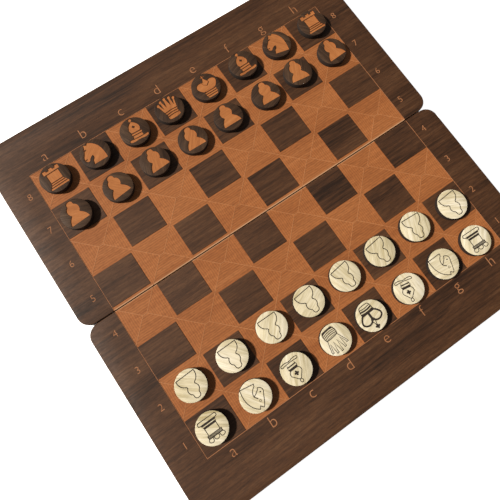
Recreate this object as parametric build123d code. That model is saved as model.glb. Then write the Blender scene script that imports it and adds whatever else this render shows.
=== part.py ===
"""Folding wooden chess case with flat magnetic men, open and set up for a game.

+X runs from the a file to the h file, +Y from rank 1 to rank 8 and +Z up. The origin is at the bottom
centre of the open case, under the fold line. All sizes are in millimetres.
"""
from build123d import *
import os

# Playing field: eight files by eight ranks, with squares a little wider than they are deep
FILE_PITCH = 30.0
RANK_PITCH = 27.2
SQUARES = 8
FIELD_SHIFT = 1.1  # the field's middle lies this far past the fold, towards rank 8
ISLAND_MARGIN = 1.5  # a dark square stops this far inside its cell
RECESS_DEPTH = 0.2  # the light squares are milled this deep
OUTLINE_WIDTH = 0.4  # milled line round the field

# Leaves
SIDE_BORDER = 22.0  # field edge to the case's side
END_BORDER = 33.0  # mean border beyond ranks 1 and 8
PANEL_THICKNESS = 3.0
CORNER_RADIUS = 8.5
EDGE_CHAMFER = 0.5
FOLD_GAP = 0.6
RAIL_HEIGHT = 11.0
RAIL_WIDTH = 10.5
STEEL_THICKNESS = 0.5
FELT_THICKNESS = 1.0
TRAY_CLEARANCE = 0.2  # sheet edge to rail

# Hinges
AXIS_DROP = 0.1  # the hinge axis lies this far under the rim
KNUCKLE_RADIUS = 1.6
KNUCKLE_COUNT = 5
KNUCKLE_GAP = 0.2
KNUCKLE_CLEARANCE = 0.25  # knuckle to wood, and to the other leaf's plate
PIN_RADIUS = 0.6
PIN_CLEARANCE = 0.05
HINGE_LENGTH = 32.0
HINGE_INSET = 62.0  # case side to the hinge's middle
PLATE_REACH = 8.6  # hinge axis to the plate's outer edge
PLATE_THICKNESS = 1.0
PLATE_CLEARANCE = 0.1
SCREW_SPACING = 20.0
SCREW_REACH = 5.4  # hinge axis to the screws
SCREW_HEAD_RADIUS = 1.7
SCREW_SHANK_RADIUS = 0.8
SCREW_LENGTH = 7.0
SCREW_CLEARANCE = 0.03
SLOT_WIDTH = 0.4
SLOT_DEPTH = 0.35

# Bumpers and latch magnets, in the front rail's rim
BUMPER_RADIUS = 3.5
LOWER_BUMPER_INSET = 16.0  # case side to the lower leaf's bumpers
UPPER_BUMPER_INSET = 30.0  # the upper leaf's stand aside, so each meets bare rim when shut
BUMPER_ROUND = 0.5
LATCH_RADIUS = 3.0
LATCH_DEPTH = 2.5
LATCH_SPREAD = 60.0  # case middle to each latch magnet
LATCH_CLEARANCE = 0.05

# Men
MAN_DIAMETER = 20.8
MAN_THICKNESS = 4.2
MAN_CHAMFER = 0.5
MAN_MAGNET_RADIUS = 3.0
MAN_MAGNET_THICKNESS = 2.0
MAN_MAGNET_CLEARANCE = 0.05

# Where each man was set down, as shares of the free play about the middle of its square: to the right,
# then towards rank 8. A row runs from the a file to the h file.
BACK_RANK = ["rook", "knight", "bishop", "queen", "king", "bishop", "knight", "rook"]
WHITE_BACK = [(-0.5, -0.05), (0.0, 0.05), (0.05, -0.3), (0.35, -0.15),
              (-0.1, -0.5), (0.15, -0.5), (0.0, -0.6), (-0.3, -0.55)]
WHITE_PAWNS = [(0.15, 0.25), (0.35, 0.35), (0.5, 0.5), (0.35, 0.5),
               (0.2, 0.45), (0.0, 0.5), (0.05, 0.5), (0.25, -0.15)]
BLACK_PAWNS = [(-0.4, -0.35), (0.1, -0.1), (0.1, 0.4), (0.1, 0.15),
               (0.05, 0.3), (0.4, 0.15), (0.2, 0.7), (0.3, 0.7)]
BLACK_BACK = [(-0.2, 0.35), (0.0, 0.35), (0.15, 0.1), (-0.15, 0.35),
              (-0.05, 0.45), (0.35, 0.55), (0.25, 0.45), (0.6, 0.5)]

# Levels and outlines that follow from the sizes above
FIELD_WIDTH = SQUARES * FILE_PITCH
FIELD_DEPTH = SQUARES * RANK_PITCH
CASE_WIDTH = FIELD_WIDTH + 2 * SIDE_BORDER
LEAF_REACH = FIELD_DEPTH / 2 + END_BORDER  # fold line to a leaf's far edge
LEAF_DEPTH = LEAF_REACH - FOLD_GAP / 2
RIM_Z = AXIS_DROP + KNUCKLE_RADIUS  # the knuckles and the bumpers both reach the table
AXIS_Z = RIM_Z - AXIS_DROP
PANEL_Z = RIM_Z + RAIL_HEIGHT
SURFACE_Z = PANEL_Z + PANEL_THICKNESS
SEGMENT_LENGTH = (HINGE_LENGTH - (KNUCKLE_COUNT - 1) * KNUCKLE_GAP) / KNUCKLE_COUNT
HINGE_MIDDLES = [-CASE_WIDTH / 2 + HINGE_INSET, CASE_WIDTH / 2 - HINGE_INSET]
LOWER = -1  # the lower leaf lies on the -Y side of the fold
UPPER = 1


def block(low, high):
    """Solid box between two corners."""
    size = [b - a for a, b in zip(low, high)]
    centre = [(a + b) / 2 for a, b in zip(low, high)]
    return Pos(*centre) * Box(*size)


def strip(side, near, far, half_width, bottom, top):
    """Box on one leaf, from near to far from the fold line."""
    rows = sorted([side * near, side * far])
    return block((-half_width, rows[0], bottom), (half_width, rows[1], top))


def post(x, y, bottom, top, radius):
    """Upright cylinder between two heights."""
    return Pos(x, y, (bottom + top) / 2) * Cylinder(radius, top - bottom)


def along_x(x_low, x_high, y, z, radius):
    """Cylinder that lies along X."""
    turned = Rot(0, 90, 0) * Cylinder(radius, x_high - x_low)
    return Pos((x_low + x_high) / 2, y, z) * turned


def leaf_slab(side, bottom, top):
    """Leaf outline with its four rounded corners, between two heights."""
    middle = side * (LEAF_REACH + FOLD_GAP / 2) / 2
    outline = RectangleRounded(CASE_WIDTH, LEAF_DEPTH, CORNER_RADIUS)
    return Pos(0, middle, bottom) * extrude(outline, top - bottom)


def cell_middle(file_index, rank_index):
    """Middle of a square on the playing surface."""
    x = (file_index + 0.5) * FILE_PITCH - FIELD_WIDTH / 2
    y = (rank_index + 0.5) * RANK_PITCH - FIELD_DEPTH / 2 + FIELD_SHIFT
    return x, y


def is_dark(file_index, rank_index):
    """The a1 square is dark, and the colours alternate."""
    return (file_index + rank_index) % 2 == 0


# ---- playing panels ----

def dark_island(file_index, rank_index):
    """Dark square left standing: inset from its light neighbours, but flush with the field's edge."""
    x, y = cell_middle(file_index, rank_index)
    left = x - FILE_PITCH / 2 + (ISLAND_MARGIN if file_index > 0 else 0)
    right = x + FILE_PITCH / 2 - (ISLAND_MARGIN if file_index < SQUARES - 1 else 0)
    front = y - RANK_PITCH / 2 + (ISLAND_MARGIN if rank_index > 0 else 0)
    back = y + RANK_PITCH / 2 - (ISLAND_MARGIN if rank_index < SQUARES - 1 else 0)
    return block((left, front, SURFACE_Z - 2 * RECESS_DEPTH), (right, back, SURFACE_Z + 2 * RECESS_DEPTH))


def milled_field():
    """Everything that is milled away from the field: light squares and outline, over both leaves."""
    half_width = FIELD_WIDTH / 2 + OUTLINE_WIDTH
    front = FIELD_SHIFT - FIELD_DEPTH / 2 - OUTLINE_WIDTH
    back = FIELD_SHIFT + FIELD_DEPTH / 2 + OUTLINE_WIDTH
    low = (-half_width, front, SURFACE_Z - RECESS_DEPTH)
    high = (half_width, back, SURFACE_Z + RECESS_DEPTH)
    islands = [
        dark_island(file_index, rank_index)
        for file_index in range(SQUARES)
        for rank_index in range(SQUARES)
        if is_dark(file_index, rank_index)
    ]
    return block(low, high) - islands


def panel(side):
    """Playing panel of one leaf, with its light squares milled in."""
    slab = leaf_slab(side, PANEL_Z, SURFACE_Z)
    top_edges = slab.edges().group_by(Axis.Z)[-1]
    return chamfer(top_edges, EDGE_CHAMFER) - milled_field()


# ---- hinges ----

def knuckle_spans(middle, side):
    """X spans of the knuckles that one leaf owns: the lower leaf has the outer ones."""
    first = 0 if side == LOWER else 1
    start = middle - HINGE_LENGTH / 2
    step = SEGMENT_LENGTH + KNUCKLE_GAP
    return [
        (start + i * step, start + i * step + SEGMENT_LENGTH)
        for i in range(first, KNUCKLE_COUNT, 2)
    ]


def screw_places(side):
    """Screw axes of both hinges on one leaf."""
    return [
        (middle + offset * SCREW_SPACING / 2, side * SCREW_REACH)
        for middle in HINGE_MIDDLES
        for offset in (-1, 1)
    ]


def screw_body(x, y, grow):
    """Countersunk screw, head down, flush with the rim; grow widens it for the hole that takes it."""
    head_height = SCREW_HEAD_RADIUS - SCREW_SHANK_RADIUS
    head = Cone(SCREW_HEAD_RADIUS + grow, SCREW_SHANK_RADIUS + grow, head_height)
    head = Pos(x, y, RIM_Z + head_height / 2) * head
    shank = post(x, y, RIM_Z + head_height, RIM_Z + SCREW_LENGTH + grow, SCREW_SHANK_RADIUS + grow)
    return head + shank


def screws(side):
    """The hinge screws of one leaf, each with a slot across its head."""
    made = []
    for x, y in screw_places(side):
        low = (x - SCREW_HEAD_RADIUS, y - SLOT_WIDTH / 2, RIM_Z)
        high = (x + SCREW_HEAD_RADIUS, y + SLOT_WIDTH / 2, RIM_Z + SLOT_DEPTH)
        made.append(screw_body(x, y, 0) - block(low, high))
    return Compound(children=made)


def hinge_plate(middle, side):
    """One plate with its share of the knuckles."""
    half = HINGE_LENGTH / 2
    near = KNUCKLE_RADIUS + KNUCKLE_CLEARANCE
    rows = sorted([side * near, side * PLATE_REACH])
    plate = block((middle - half, rows[0], RIM_Z), (middle + half, rows[1], RIM_Z + PLATE_THICKNESS))
    for low, high in knuckle_spans(middle, side):
        tab_rows = sorted([0, side * near])
        plate += block((low, tab_rows[0], RIM_Z), (high, tab_rows[1], RIM_Z + PLATE_THICKNESS))
        plate += along_x(low, high, 0, AXIS_Z, KNUCKLE_RADIUS)
    plate -= along_x(middle - HINGE_LENGTH, middle + HINGE_LENGTH, 0, AXIS_Z, PIN_RADIUS + PIN_CLEARANCE)
    for x, y in screw_places(side):
        plate -= screw_body(x, y, SCREW_CLEARANCE)
    return plate


def hinge_pins():
    """The two hinge pins."""
    half = HINGE_LENGTH / 2
    return Compound(children=[
        along_x(middle - half, middle + half, 0, AXIS_Z, PIN_RADIUS) for middle in HINGE_MIDDLES
    ])


# ---- rails ----

def hinge_mortise(middle, side):
    """Room for one plate and for the turning knuckles."""
    half = HINGE_LENGTH / 2 + PLATE_CLEARANCE
    rows = sorted([0, side * (PLATE_REACH + PLATE_CLEARANCE)])
    pocket = block((middle - half, rows[0], RIM_Z - 1), (middle + half, rows[1], RIM_Z + PLATE_THICKNESS))
    groove = along_x(middle - half, middle + half, 0, AXIS_Z, KNUCKLE_RADIUS + KNUCKLE_CLEARANCE)
    return pocket + groove


def hinge_rail(side):
    """Long rail beside the fold, with the hinge mortises and the screws' pilot holes."""
    near = FOLD_GAP / 2
    rail = leaf_slab(side, RIM_Z, PANEL_Z) & strip(side, near, near + RAIL_WIDTH, CASE_WIDTH, 0, SURFACE_Z)
    for middle in HINGE_MIDDLES:
        rail -= hinge_mortise(middle, side)
    for x, y in screw_places(side):
        rail -= screw_body(x, y, SCREW_CLEARANCE)
    return rail


def front_rail(side):
    """Long rail at the leaf's far edge, with the latch magnets' pockets."""
    rail = leaf_slab(side, RIM_Z, PANEL_Z)
    rail &= strip(side, LEAF_REACH - RAIL_WIDTH, LEAF_REACH, CASE_WIDTH, 0, SURFACE_Z)
    for x, y in latch_places(side):
        rail -= post(x, y, RIM_Z - 1, RIM_Z + LATCH_DEPTH, LATCH_RADIUS + LATCH_CLEARANCE)
    return rail


def side_rail(side, hand):
    """Short rail between the two long ones; hand is -1 on the left and 1 on the right."""
    near = FOLD_GAP / 2 + RAIL_WIDTH
    rows = sorted([side * near, side * (LEAF_REACH - RAIL_WIDTH)])
    columns = sorted([hand * CASE_WIDTH / 2, hand * (CASE_WIDTH / 2 - RAIL_WIDTH)])
    return block((columns[0], rows[0], RIM_Z), (columns[1], rows[1], PANEL_Z))


# ---- what the rails hold ----

def tray_sheet(side, top, thickness):
    """Thin sheet that fills the tray between the rails."""
    near = FOLD_GAP / 2 + RAIL_WIDTH + TRAY_CLEARANCE
    far = LEAF_REACH - RAIL_WIDTH - TRAY_CLEARANCE
    half_width = CASE_WIDTH / 2 - RAIL_WIDTH - TRAY_CLEARANCE
    return strip(side, near, far, half_width, top - thickness, top)


def latch_places(side):
    """Latch magnet axes on one leaf."""
    y = side * (LEAF_REACH - RAIL_WIDTH / 2)
    return [(hand * LATCH_SPREAD, y) for hand in (-1, 1)]


def latch_magnets(side):
    """Two round magnets, flush with the rim."""
    return Compound(children=[
        post(x, y, RIM_Z, RIM_Z + LATCH_DEPTH, LATCH_RADIUS) for x, y in latch_places(side)
    ])


def bumpers(side):
    """Two rubber bumpers, as tall as the knuckles stand out."""
    inset = LOWER_BUMPER_INSET if side == LOWER else UPPER_BUMPER_INSET
    y = side * (LEAF_REACH - RAIL_WIDTH / 2)
    made = []
    for hand in (-1, 1):
        button = post(hand * (CASE_WIDTH / 2 - inset), y, 0, RIM_Z, BUMPER_RADIUS)
        made.append(fillet(button.edges().group_by(Axis.Z)[0], BUMPER_ROUND))
    return Compound(children=made)


# ---- men ----

def man(file_index, rank_index, shares):
    """Flat round man with a magnet in its underside, on a dark square or on a light square's floor."""
    x, y = cell_middle(file_index, rank_index)
    x += shares[0] * (FILE_PITCH - MAN_DIAMETER) / 2
    y += shares[1] * (RANK_PITCH - MAN_DIAMETER) / 2
    base = SURFACE_Z if is_dark(file_index, rank_index) else SURFACE_Z - RECESS_DEPTH
    disc = post(x, y, base, base + MAN_THICKNESS, MAN_DIAMETER / 2)
    rims = disc.edges().filter_by(GeomType.CIRCLE)
    disc = chamfer(rims, MAN_CHAMFER)
    disc -= post(x, y, base - 1, base + MAN_MAGNET_THICKNESS, MAN_MAGNET_RADIUS + MAN_MAGNET_CLEARANCE)
    magnet = post(x, y, base, base + MAN_MAGNET_THICKNESS, MAN_MAGNET_RADIUS)
    return Compound(children=[disc, magnet])


def all_men():
    """Every man by name, such as white_rook_a."""
    ranks = [
        ("white", BACK_RANK, 0, WHITE_BACK),
        ("white", ["pawn"] * SQUARES, 1, WHITE_PAWNS),
        ("black", ["pawn"] * SQUARES, SQUARES - 2, BLACK_PAWNS),
        ("black", BACK_RANK, SQUARES - 1, BLACK_BACK),
    ]
    return {
        f"{colour}_{kind}_{'abcdefgh'[i]}": man(i, rank_index, places[i])
        for colour, kinds, rank_index, places in ranks
        for i, kind in enumerate(kinds)
    }


def leaf_nodes(name, side):
    """Every node of one leaf."""
    return {
        f"{name}_panel": panel(side),
        f"{name}_steel_sheet": tray_sheet(side, PANEL_Z, STEEL_THICKNESS),
        f"{name}_felt_lining": tray_sheet(side, PANEL_Z - STEEL_THICKNESS, FELT_THICKNESS),
        f"{name}_front_rail": front_rail(side),
        f"{name}_hinge_rail": hinge_rail(side),
        f"{name}_left_rail": side_rail(side, -1),
        f"{name}_right_rail": side_rail(side, 1),
        f"{name}_latch_magnets": latch_magnets(side),
        f"{name}_bumpers": bumpers(side),
        f"{name}_hinge_plates": Compound(children=[hinge_plate(middle, side) for middle in HINGE_MIDDLES]),
        f"{name}_hinge_screws": screws(side),
    }


def main():
    """Build every node and write one STEP file for each."""
    nodes = {}
    nodes.update(leaf_nodes("lower", LOWER))
    nodes.update(leaf_nodes("upper", UPPER))
    nodes["hinge_pins"] = hinge_pins()
    nodes.update(all_men())
    os.makedirs("parts", exist_ok=True)
    for name, shape in nodes.items():
        export_step(shape, f"parts/{name}.step")


main()
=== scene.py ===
"""Looks of a folding wooden chess case with flat round men, built on its CAD frame.

Each sub-assembly is a class that holds its sizes and builds and dresses its own pieces. Sizes inside the
classes are millimetres; MM turns them into the frame's metres where a mesh is made.
"""

import logging
import math
import random
from collections.abc import Iterable, Sequence
from dataclasses import dataclass, field
from enum import Enum
from typing import Any

import bmesh
import bpy
from mathutils import Matrix, Vector, geometry, noise


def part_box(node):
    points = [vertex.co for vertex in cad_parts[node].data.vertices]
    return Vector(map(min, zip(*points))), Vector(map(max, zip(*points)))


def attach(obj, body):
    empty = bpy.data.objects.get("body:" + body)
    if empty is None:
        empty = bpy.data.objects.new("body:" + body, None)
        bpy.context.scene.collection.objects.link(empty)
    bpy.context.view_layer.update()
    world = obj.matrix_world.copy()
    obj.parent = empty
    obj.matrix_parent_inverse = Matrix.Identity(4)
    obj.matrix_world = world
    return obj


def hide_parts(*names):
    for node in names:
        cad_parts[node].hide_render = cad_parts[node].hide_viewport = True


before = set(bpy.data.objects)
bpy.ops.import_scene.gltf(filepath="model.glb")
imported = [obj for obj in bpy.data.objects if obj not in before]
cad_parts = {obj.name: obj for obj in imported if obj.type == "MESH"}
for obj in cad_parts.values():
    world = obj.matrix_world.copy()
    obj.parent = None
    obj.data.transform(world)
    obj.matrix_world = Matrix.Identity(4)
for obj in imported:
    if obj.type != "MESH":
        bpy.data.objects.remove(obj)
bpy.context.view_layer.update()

MM = 0.001
WELD = 0.002  # mm; corners closer than this are one corner
CUT_TOLERANCE = 1e-4  # mm; points closer than this are one point when outlines are merged
NOTHING = 1e-6  # mm; a length smaller than this is none, and so is a bulge
ARC_STEP = math.radians(12)  # the most that one straight piece of a drawn arc turns
CORNER_STEPS = 8  # straight pieces in a board's round corner
EDGE_STEPS = 3  # straight pieces across a sanded edge
SMALL_SIDES = 24  # sides of a small circle
LEVEL_FACE = 0.9999  # a face whose normal is this upright lies level
SHARP_MITRE = 0.45  # a drawn line's mitre is never worked out with a smaller cosine, so it stays short
SHARP_CORNER = 0.3  # the same for a board's corner
CLEAR = 1.0  # mm that a cutter stands out past the face that it cuts
FILES = "abcdefgh"
LOG = logging.getLogger("chess_case")

Point = tuple[float, float]
Path = list[tuple[float, ...]]
Line = tuple[Path, float, bool]  # its path, its width and whether it is closed


# ---- small tools ----

def linear(colour: str) -> tuple[float, float, float, float]:
    """Turns an sRGB hex colour into linear RGBA.

    Args:
        colour: six hex digits after a hash, such as "#5C4332".

    Returns:
        The linear colour with alpha 1.
    """
    channels = [int(colour[i:i + 2], 16) / 255 for i in (1, 3, 5)]
    lin = [c / 12.92 if c <= 0.04045 else ((c + 0.055) / 1.055) ** 2.4 for c in channels]
    return lin[0], lin[1], lin[2], 1.0


def add(tree: bpy.types.NodeTree, kind: str, settings: dict[str, Any] | None = None,
        inputs: dict[int | str, Any] | None = None) -> bpy.types.Node:
    """Adds a node with its settings and links.

    Args:
        tree: the node tree to add to.
        kind: the node's type name.
        settings: attributes to set on the node.
        inputs: by input name or number, a value, or a socket or node to link from.

    Returns:
        The new node.
    """
    node = tree.nodes.new(kind)
    for key, value in (settings or {}).items():
        setattr(node, key, value)
    for key, value in (inputs or {}).items():
        if isinstance(value, bpy.types.Node):
            value = value.outputs[0]
        if isinstance(value, bpy.types.NodeSocket):
            tree.links.new(value, node.inputs[key])
        else:
            node.inputs[key].default_value = value
    return node


def box_mm(node: str) -> tuple[Vector, Vector]:
    """Lowest and highest corner of a CAD node, in millimetres."""
    low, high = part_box(node)
    return low / MM, high / MM


def place(name: str, data: bpy.types.ID) -> bpy.types.Object:
    """Puts a mesh, a curve, a lamp or a camera into the scene as an object at the origin.

    Args:
        name: the object's name.
        data: what it shows; a mesh is already in its place.

    Returns:
        The new object.
    """
    data.name = name
    thing = bpy.data.objects.new(name, data)
    bpy.context.scene.collection.objects.link(thing)
    return thing


def solid(name: str, form: bmesh.types.BMesh, *materials: bpy.types.Material) -> bpy.types.Object:
    """Puts a finished form into the scene.

    Args:
        name: the object's name.
        form: the form, which is used up.
        materials: its materials, in the order of its faces' indices.

    Returns:
        The new object.
    """
    mesh = bpy.data.meshes.new(name)
    form.to_mesh(mesh)
    form.free()
    for material in materials:
        mesh.materials.append(material)
    return place(name, mesh)


def stand_in(piece: bpy.types.Object, node: str, body: str) -> bpy.types.Object:
    """Lets a finished piece take a CAD node's place.

    Args:
        piece: the piece.
        node: the node that it replaces.
        body: the body that it rides on.

    Returns:
        The same piece.
    """
    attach(piece, body)
    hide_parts(node)
    return piece


def discard(*things: bpy.types.Object) -> None:
    """Removes helper objects."""
    for thing in things:
        bpy.data.objects.remove(thing)


def evaluated_mesh(thing: bpy.types.Object) -> bpy.types.Mesh:
    """Plain mesh of an object as its modifiers leave it."""
    bpy.context.view_layer.update()
    graph = bpy.context.evaluated_depsgraph_get()
    return bpy.data.meshes.new_from_object(thing.evaluated_get(graph), depsgraph=graph)


def smooth_by_angle(mesh: bpy.types.Mesh, degrees: float = 32) -> None:
    """Shades a mesh smooth, but keeps sharper edges and level faces crisp."""
    mesh.polygons.foreach_set("use_smooth", [abs(face.normal.z) < LEVEL_FACE for face in mesh.polygons])
    mesh.set_sharp_from_angle(angle=math.radians(degrees))
    mesh.update()


# ---- outlines: points joined by straight runs or, where a point has a bulge, by an arc to the next ----

def flat_points(path: Path, closed: bool = True) -> list[Point]:
    """Turns a path with arcs into plain points.

    Args:
        path: points (x, y) or (x, y, bulge); bulge is the tangent of a quarter of the arc's turn to the
            next point, positive counter-clockwise.
        closed: whether the last point runs on to the first.

    Returns:
        The points along the path.
    """
    points = []
    last = len(path) - (0 if closed else 1)
    for i, node in enumerate(path):
        x, y = node[0], node[1]
        points.append((x, y))
        bulge = node[2] if len(node) > 2 and i < last else 0.0
        if abs(bulge) < NOTHING:
            continue
        end_x, end_y = path[(i + 1) % len(path)][:2]
        turn = 4 * math.atan(bulge)
        radius = math.hypot(end_x - x, end_y - y) / (2 * math.sin(turn / 2))
        heading = math.atan2(end_y - y, end_x - x) - turn / 2
        centre_x = x - radius * math.sin(heading)
        centre_y = y + radius * math.cos(heading)
        steps = max(2, math.ceil(abs(turn) / ARC_STEP))
        for k in range(1, steps):
            angle = heading + turn * k / steps
            points.append((centre_x + radius * math.sin(angle), centre_y - radius * math.cos(angle)))
    return points


def mirrored(half: Path) -> Path:
    """Closes the right half of an outline, drawn from the top down, with its mirror image.

    Args:
        half: the right half; its first and last points may lie on the middle line.

    Returns:
        The whole closed outline.
    """
    left = []
    for i in range(len(half) - 1, -1, -1):
        bulge = half[i - 1][2] if i > 0 and len(half[i - 1]) > 2 else 0.0
        left.append((-half[i][0], half[i][1], bulge))
    whole = list(half)
    if abs(half[-1][0]) < NOTHING:
        left = left[1:]
        whole[-1] = (half[-1][0], half[-1][1], half[-2][2] if len(half[-2]) > 2 else 0.0)
    if abs(half[0][0]) < NOTHING:
        left = left[:-1]
    return whole + left


def ring(x: float, y: float, radius: float, squash: float = 1.0) -> list[Point]:
    """Points round a circle, or an ellipse that is flatter or taller by squash."""
    turns = [2 * math.pi * i / SMALL_SIDES for i in range(SMALL_SIDES)]
    return [(x + radius * math.cos(a), y + radius * squash * math.sin(a)) for a in turns]


def stroke(points: Sequence[Point], width: float, closed: bool = False) -> list[list[Point]]:
    """Widens a line into four-sided pieces that share mitred corners.

    Args:
        points: the line's points.
        width: the finished width.
        closed: whether the line runs on from its last point to its first.

    Returns:
        One polygon for each stretch of the line.
    """
    count = len(points)
    sides = []
    for i, (x, y) in enumerate(points):
        ways = []
        for a, b in ((i - 1, i), (i, i + 1)):
            if closed or (a >= 0 and b < count):
                start, end = points[a % count], points[b % count]
                length = math.hypot(end[0] - start[0], end[1] - start[1]) or 1.0
                ways.append(((end[0] - start[0]) / length, (end[1] - start[1]) / length))
        way_x = sum(w[0] for w in ways)
        way_y = sum(w[1] for w in ways)
        length = math.hypot(way_x, way_y) or 1.0
        way_x, way_y = way_x / length, way_y / length
        lean = max(SHARP_MITRE, way_x * ways[0][0] + way_y * ways[0][1])
        reach = width / 2 / lean
        sides.append(((x - way_y * reach, y + way_x * reach), (x + way_y * reach, y - way_x * reach)))
    spans = [(i, (i + 1) % count) for i in range(count if closed else count - 1)]
    return [[sides[a][1], sides[b][1], sides[b][0], sides[a][0]] for a, b in spans]


def winds_round(polygon: Sequence[Point], x: float, y: float) -> bool:
    """Whether a polygon, which may cross itself, winds round a point."""
    turns = 0
    for (ax, ay), (bx, by) in zip(polygon, [*polygon[1:], polygon[0]]):
        if (ay <= y) != (by <= y):
            side = (bx - ax) * (y - ay) - (x - ax) * (by - ay)
            if (by > ay) == (side > 0):
                turns += 1 if by > ay else -1
    return turns != 0


def merged_triangles(cuts: list[list[Point]],
                     keeps: list[list[Point]]) -> tuple[list[Vector], list[list[int]]]:
    """Merges outlines into triangles that lie inside a cut and outside every keep.

    Args:
        cuts: polygons to take away; they may overlap.
        keeps: polygons to leave standing within them.

    Returns:
        The points and the triangles.
    """
    points, edges = [], []
    for polygon in [*cuts, *keeps]:
        first, count = len(points), len(polygon)
        points.extend(Vector(p) for p in polygon)
        edges.extend((first + i, first + (i + 1) % count) for i in range(count))
    made = geometry.delaunay_2d_cdt(points, edges, [], 0, CUT_TOLERANCE)
    areas = []
    for polygon in [*cuts, *keeps]:
        xs, ys = [p[0] for p in polygon], [p[1] for p in polygon]
        areas.append((min(xs), max(xs), min(ys), max(ys), polygon))

    def covered(group: list[tuple[Any, ...]], x: float, y: float) -> bool:
        """Whether any polygon of a group lies over a point."""
        return any(low_x < x < high_x and low_y < y < high_y and winds_round(polygon, x, y)
                   for low_x, high_x, low_y, high_y, polygon in group)

    kept = []
    for triangle in made[2]:
        x = sum(made[0][i].x for i in triangle) / 3
        y = sum(made[0][i].y for i in triangle) / 3
        if covered(areas[:len(cuts)], x, y) and not covered(areas[len(cuts):], x, y):
            kept.append(list(triangle))
    return made[0], kept


def prism(name: str, cuts: list[list[Point]], keeps: list[list[Point]], low: float, high: float,
          material: bpy.types.Material) -> bpy.types.Object:
    """Upright solid between two heights over merged outlines, used to cut another.

    Args:
        name: the object's name.
        cuts: polygons that it covers.
        keeps: polygons that it leaves out.
        low: its lower height, mm.
        high: its upper height, mm.
        material: what its faces, and so the cut's, are made of.

    Returns:
        The closed solid.
    """
    points, triangles = merged_triangles(cuts, keeps)
    form = bmesh.new()
    levels = [{}, {}]
    for triangle in triangles:
        for i in triangle:
            for level, z in zip(levels, (low, high)):
                if i not in level:
                    level[i] = form.verts.new((points[i].x * MM, points[i].y * MM, z * MM))
    used = set()
    for a, b, c in triangles:
        form.faces.new([levels[1][a], levels[1][b], levels[1][c]])
        form.faces.new([levels[0][c], levels[0][b], levels[0][a]])
        used.update([(a, b), (b, c), (c, a)])
    for a, b in used:
        if (b, a) not in used:
            form.faces.new([levels[1][b], levels[1][a], levels[0][a], levels[0][b]])
    return solid(name, form, material)


def lathe(profile: Sequence[Point], parts: Sequence[int], segments: int = 96) -> bmesh.types.BMesh:
    """Solid of revolution about Z.

    Args:
        profile: (radius, height) points from the bottom's middle to the top's middle, mm.
        parts: the material index of each run between two points.
        segments: how many sides the circle has.

    Returns:
        The closed form, with outward faces.
    """
    form = bmesh.new()
    rings = []
    for radius, z in profile:
        if radius < NOTHING:
            rings.append([form.verts.new((0, 0, z * MM))])
        else:
            angles = [2 * math.pi * i / segments for i in range(segments)]
            rings.append([form.verts.new((radius * MM * math.cos(a), radius * MM * math.sin(a), z * MM))
                          for a in angles])
    for lower, upper, part in zip(rings, rings[1:], parts):
        for i in range(segments):
            j = (i + 1) % segments
            corners = list(dict.fromkeys((lower[i % len(lower)], lower[j % len(lower)],
                                          upper[j % len(upper)], upper[i % len(upper)])))
            if len(corners) > 2:
                form.faces.new(corners).material_index = part
    bmesh.ops.recalc_face_normals(form, faces=form.faces)
    return form


def rounded_outline(width: float, depth: float, radius: float) -> list[Point]:
    """Outline of a rectangle with round corners, about its middle."""
    points = []
    for quarter, (sx, sy) in enumerate(((1, 1), (-1, 1), (-1, -1), (1, -1))):
        corner_x, corner_y = sx * (width / 2 - radius), sy * (depth / 2 - radius)
        for i in range(CORNER_STEPS + 1):
            angle = math.pi / 2 * (quarter + i / CORNER_STEPS)
            points.append((corner_x + radius * math.cos(angle), corner_y + radius * math.sin(angle)))
    return points


def cut_away(base: bpy.types.Object, tool: bpy.types.Object, crossing: bool = False) -> bpy.types.Mesh:
    """Takes one closed form away from another; both are removed from the scene.

    Args:
        base: the form that is worked on.
        tool: the form that is taken away.
        crossing: whether the tool's own shells cross each other.

    Returns:
        The closed mesh that is left, with both forms' materials.
    """
    cut = base.modifiers.new("work", "BOOLEAN")
    cut.object = tool
    cut.operation = "DIFFERENCE"
    cut.solver = "EXACT"
    cut.use_self = crossing
    cut.material_mode = "TRANSFER"
    mesh = evaluated_mesh(base)
    name = f"{base.name} and {tool.name}"
    discard(base, tool)
    form = bmesh.new()
    form.from_mesh(mesh)
    bmesh.ops.remove_doubles(form, verts=form.verts, dist=WELD * MM)
    bmesh.ops.dissolve_degenerate(form, edges=form.edges, dist=WELD * MM)
    loose = sum(1 for edge in form.edges if not edge.is_manifold)
    form.to_mesh(mesh)
    form.free()
    if loose:
        LOG.warning("%s: %d open edges", name, loose)
    return mesh


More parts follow.
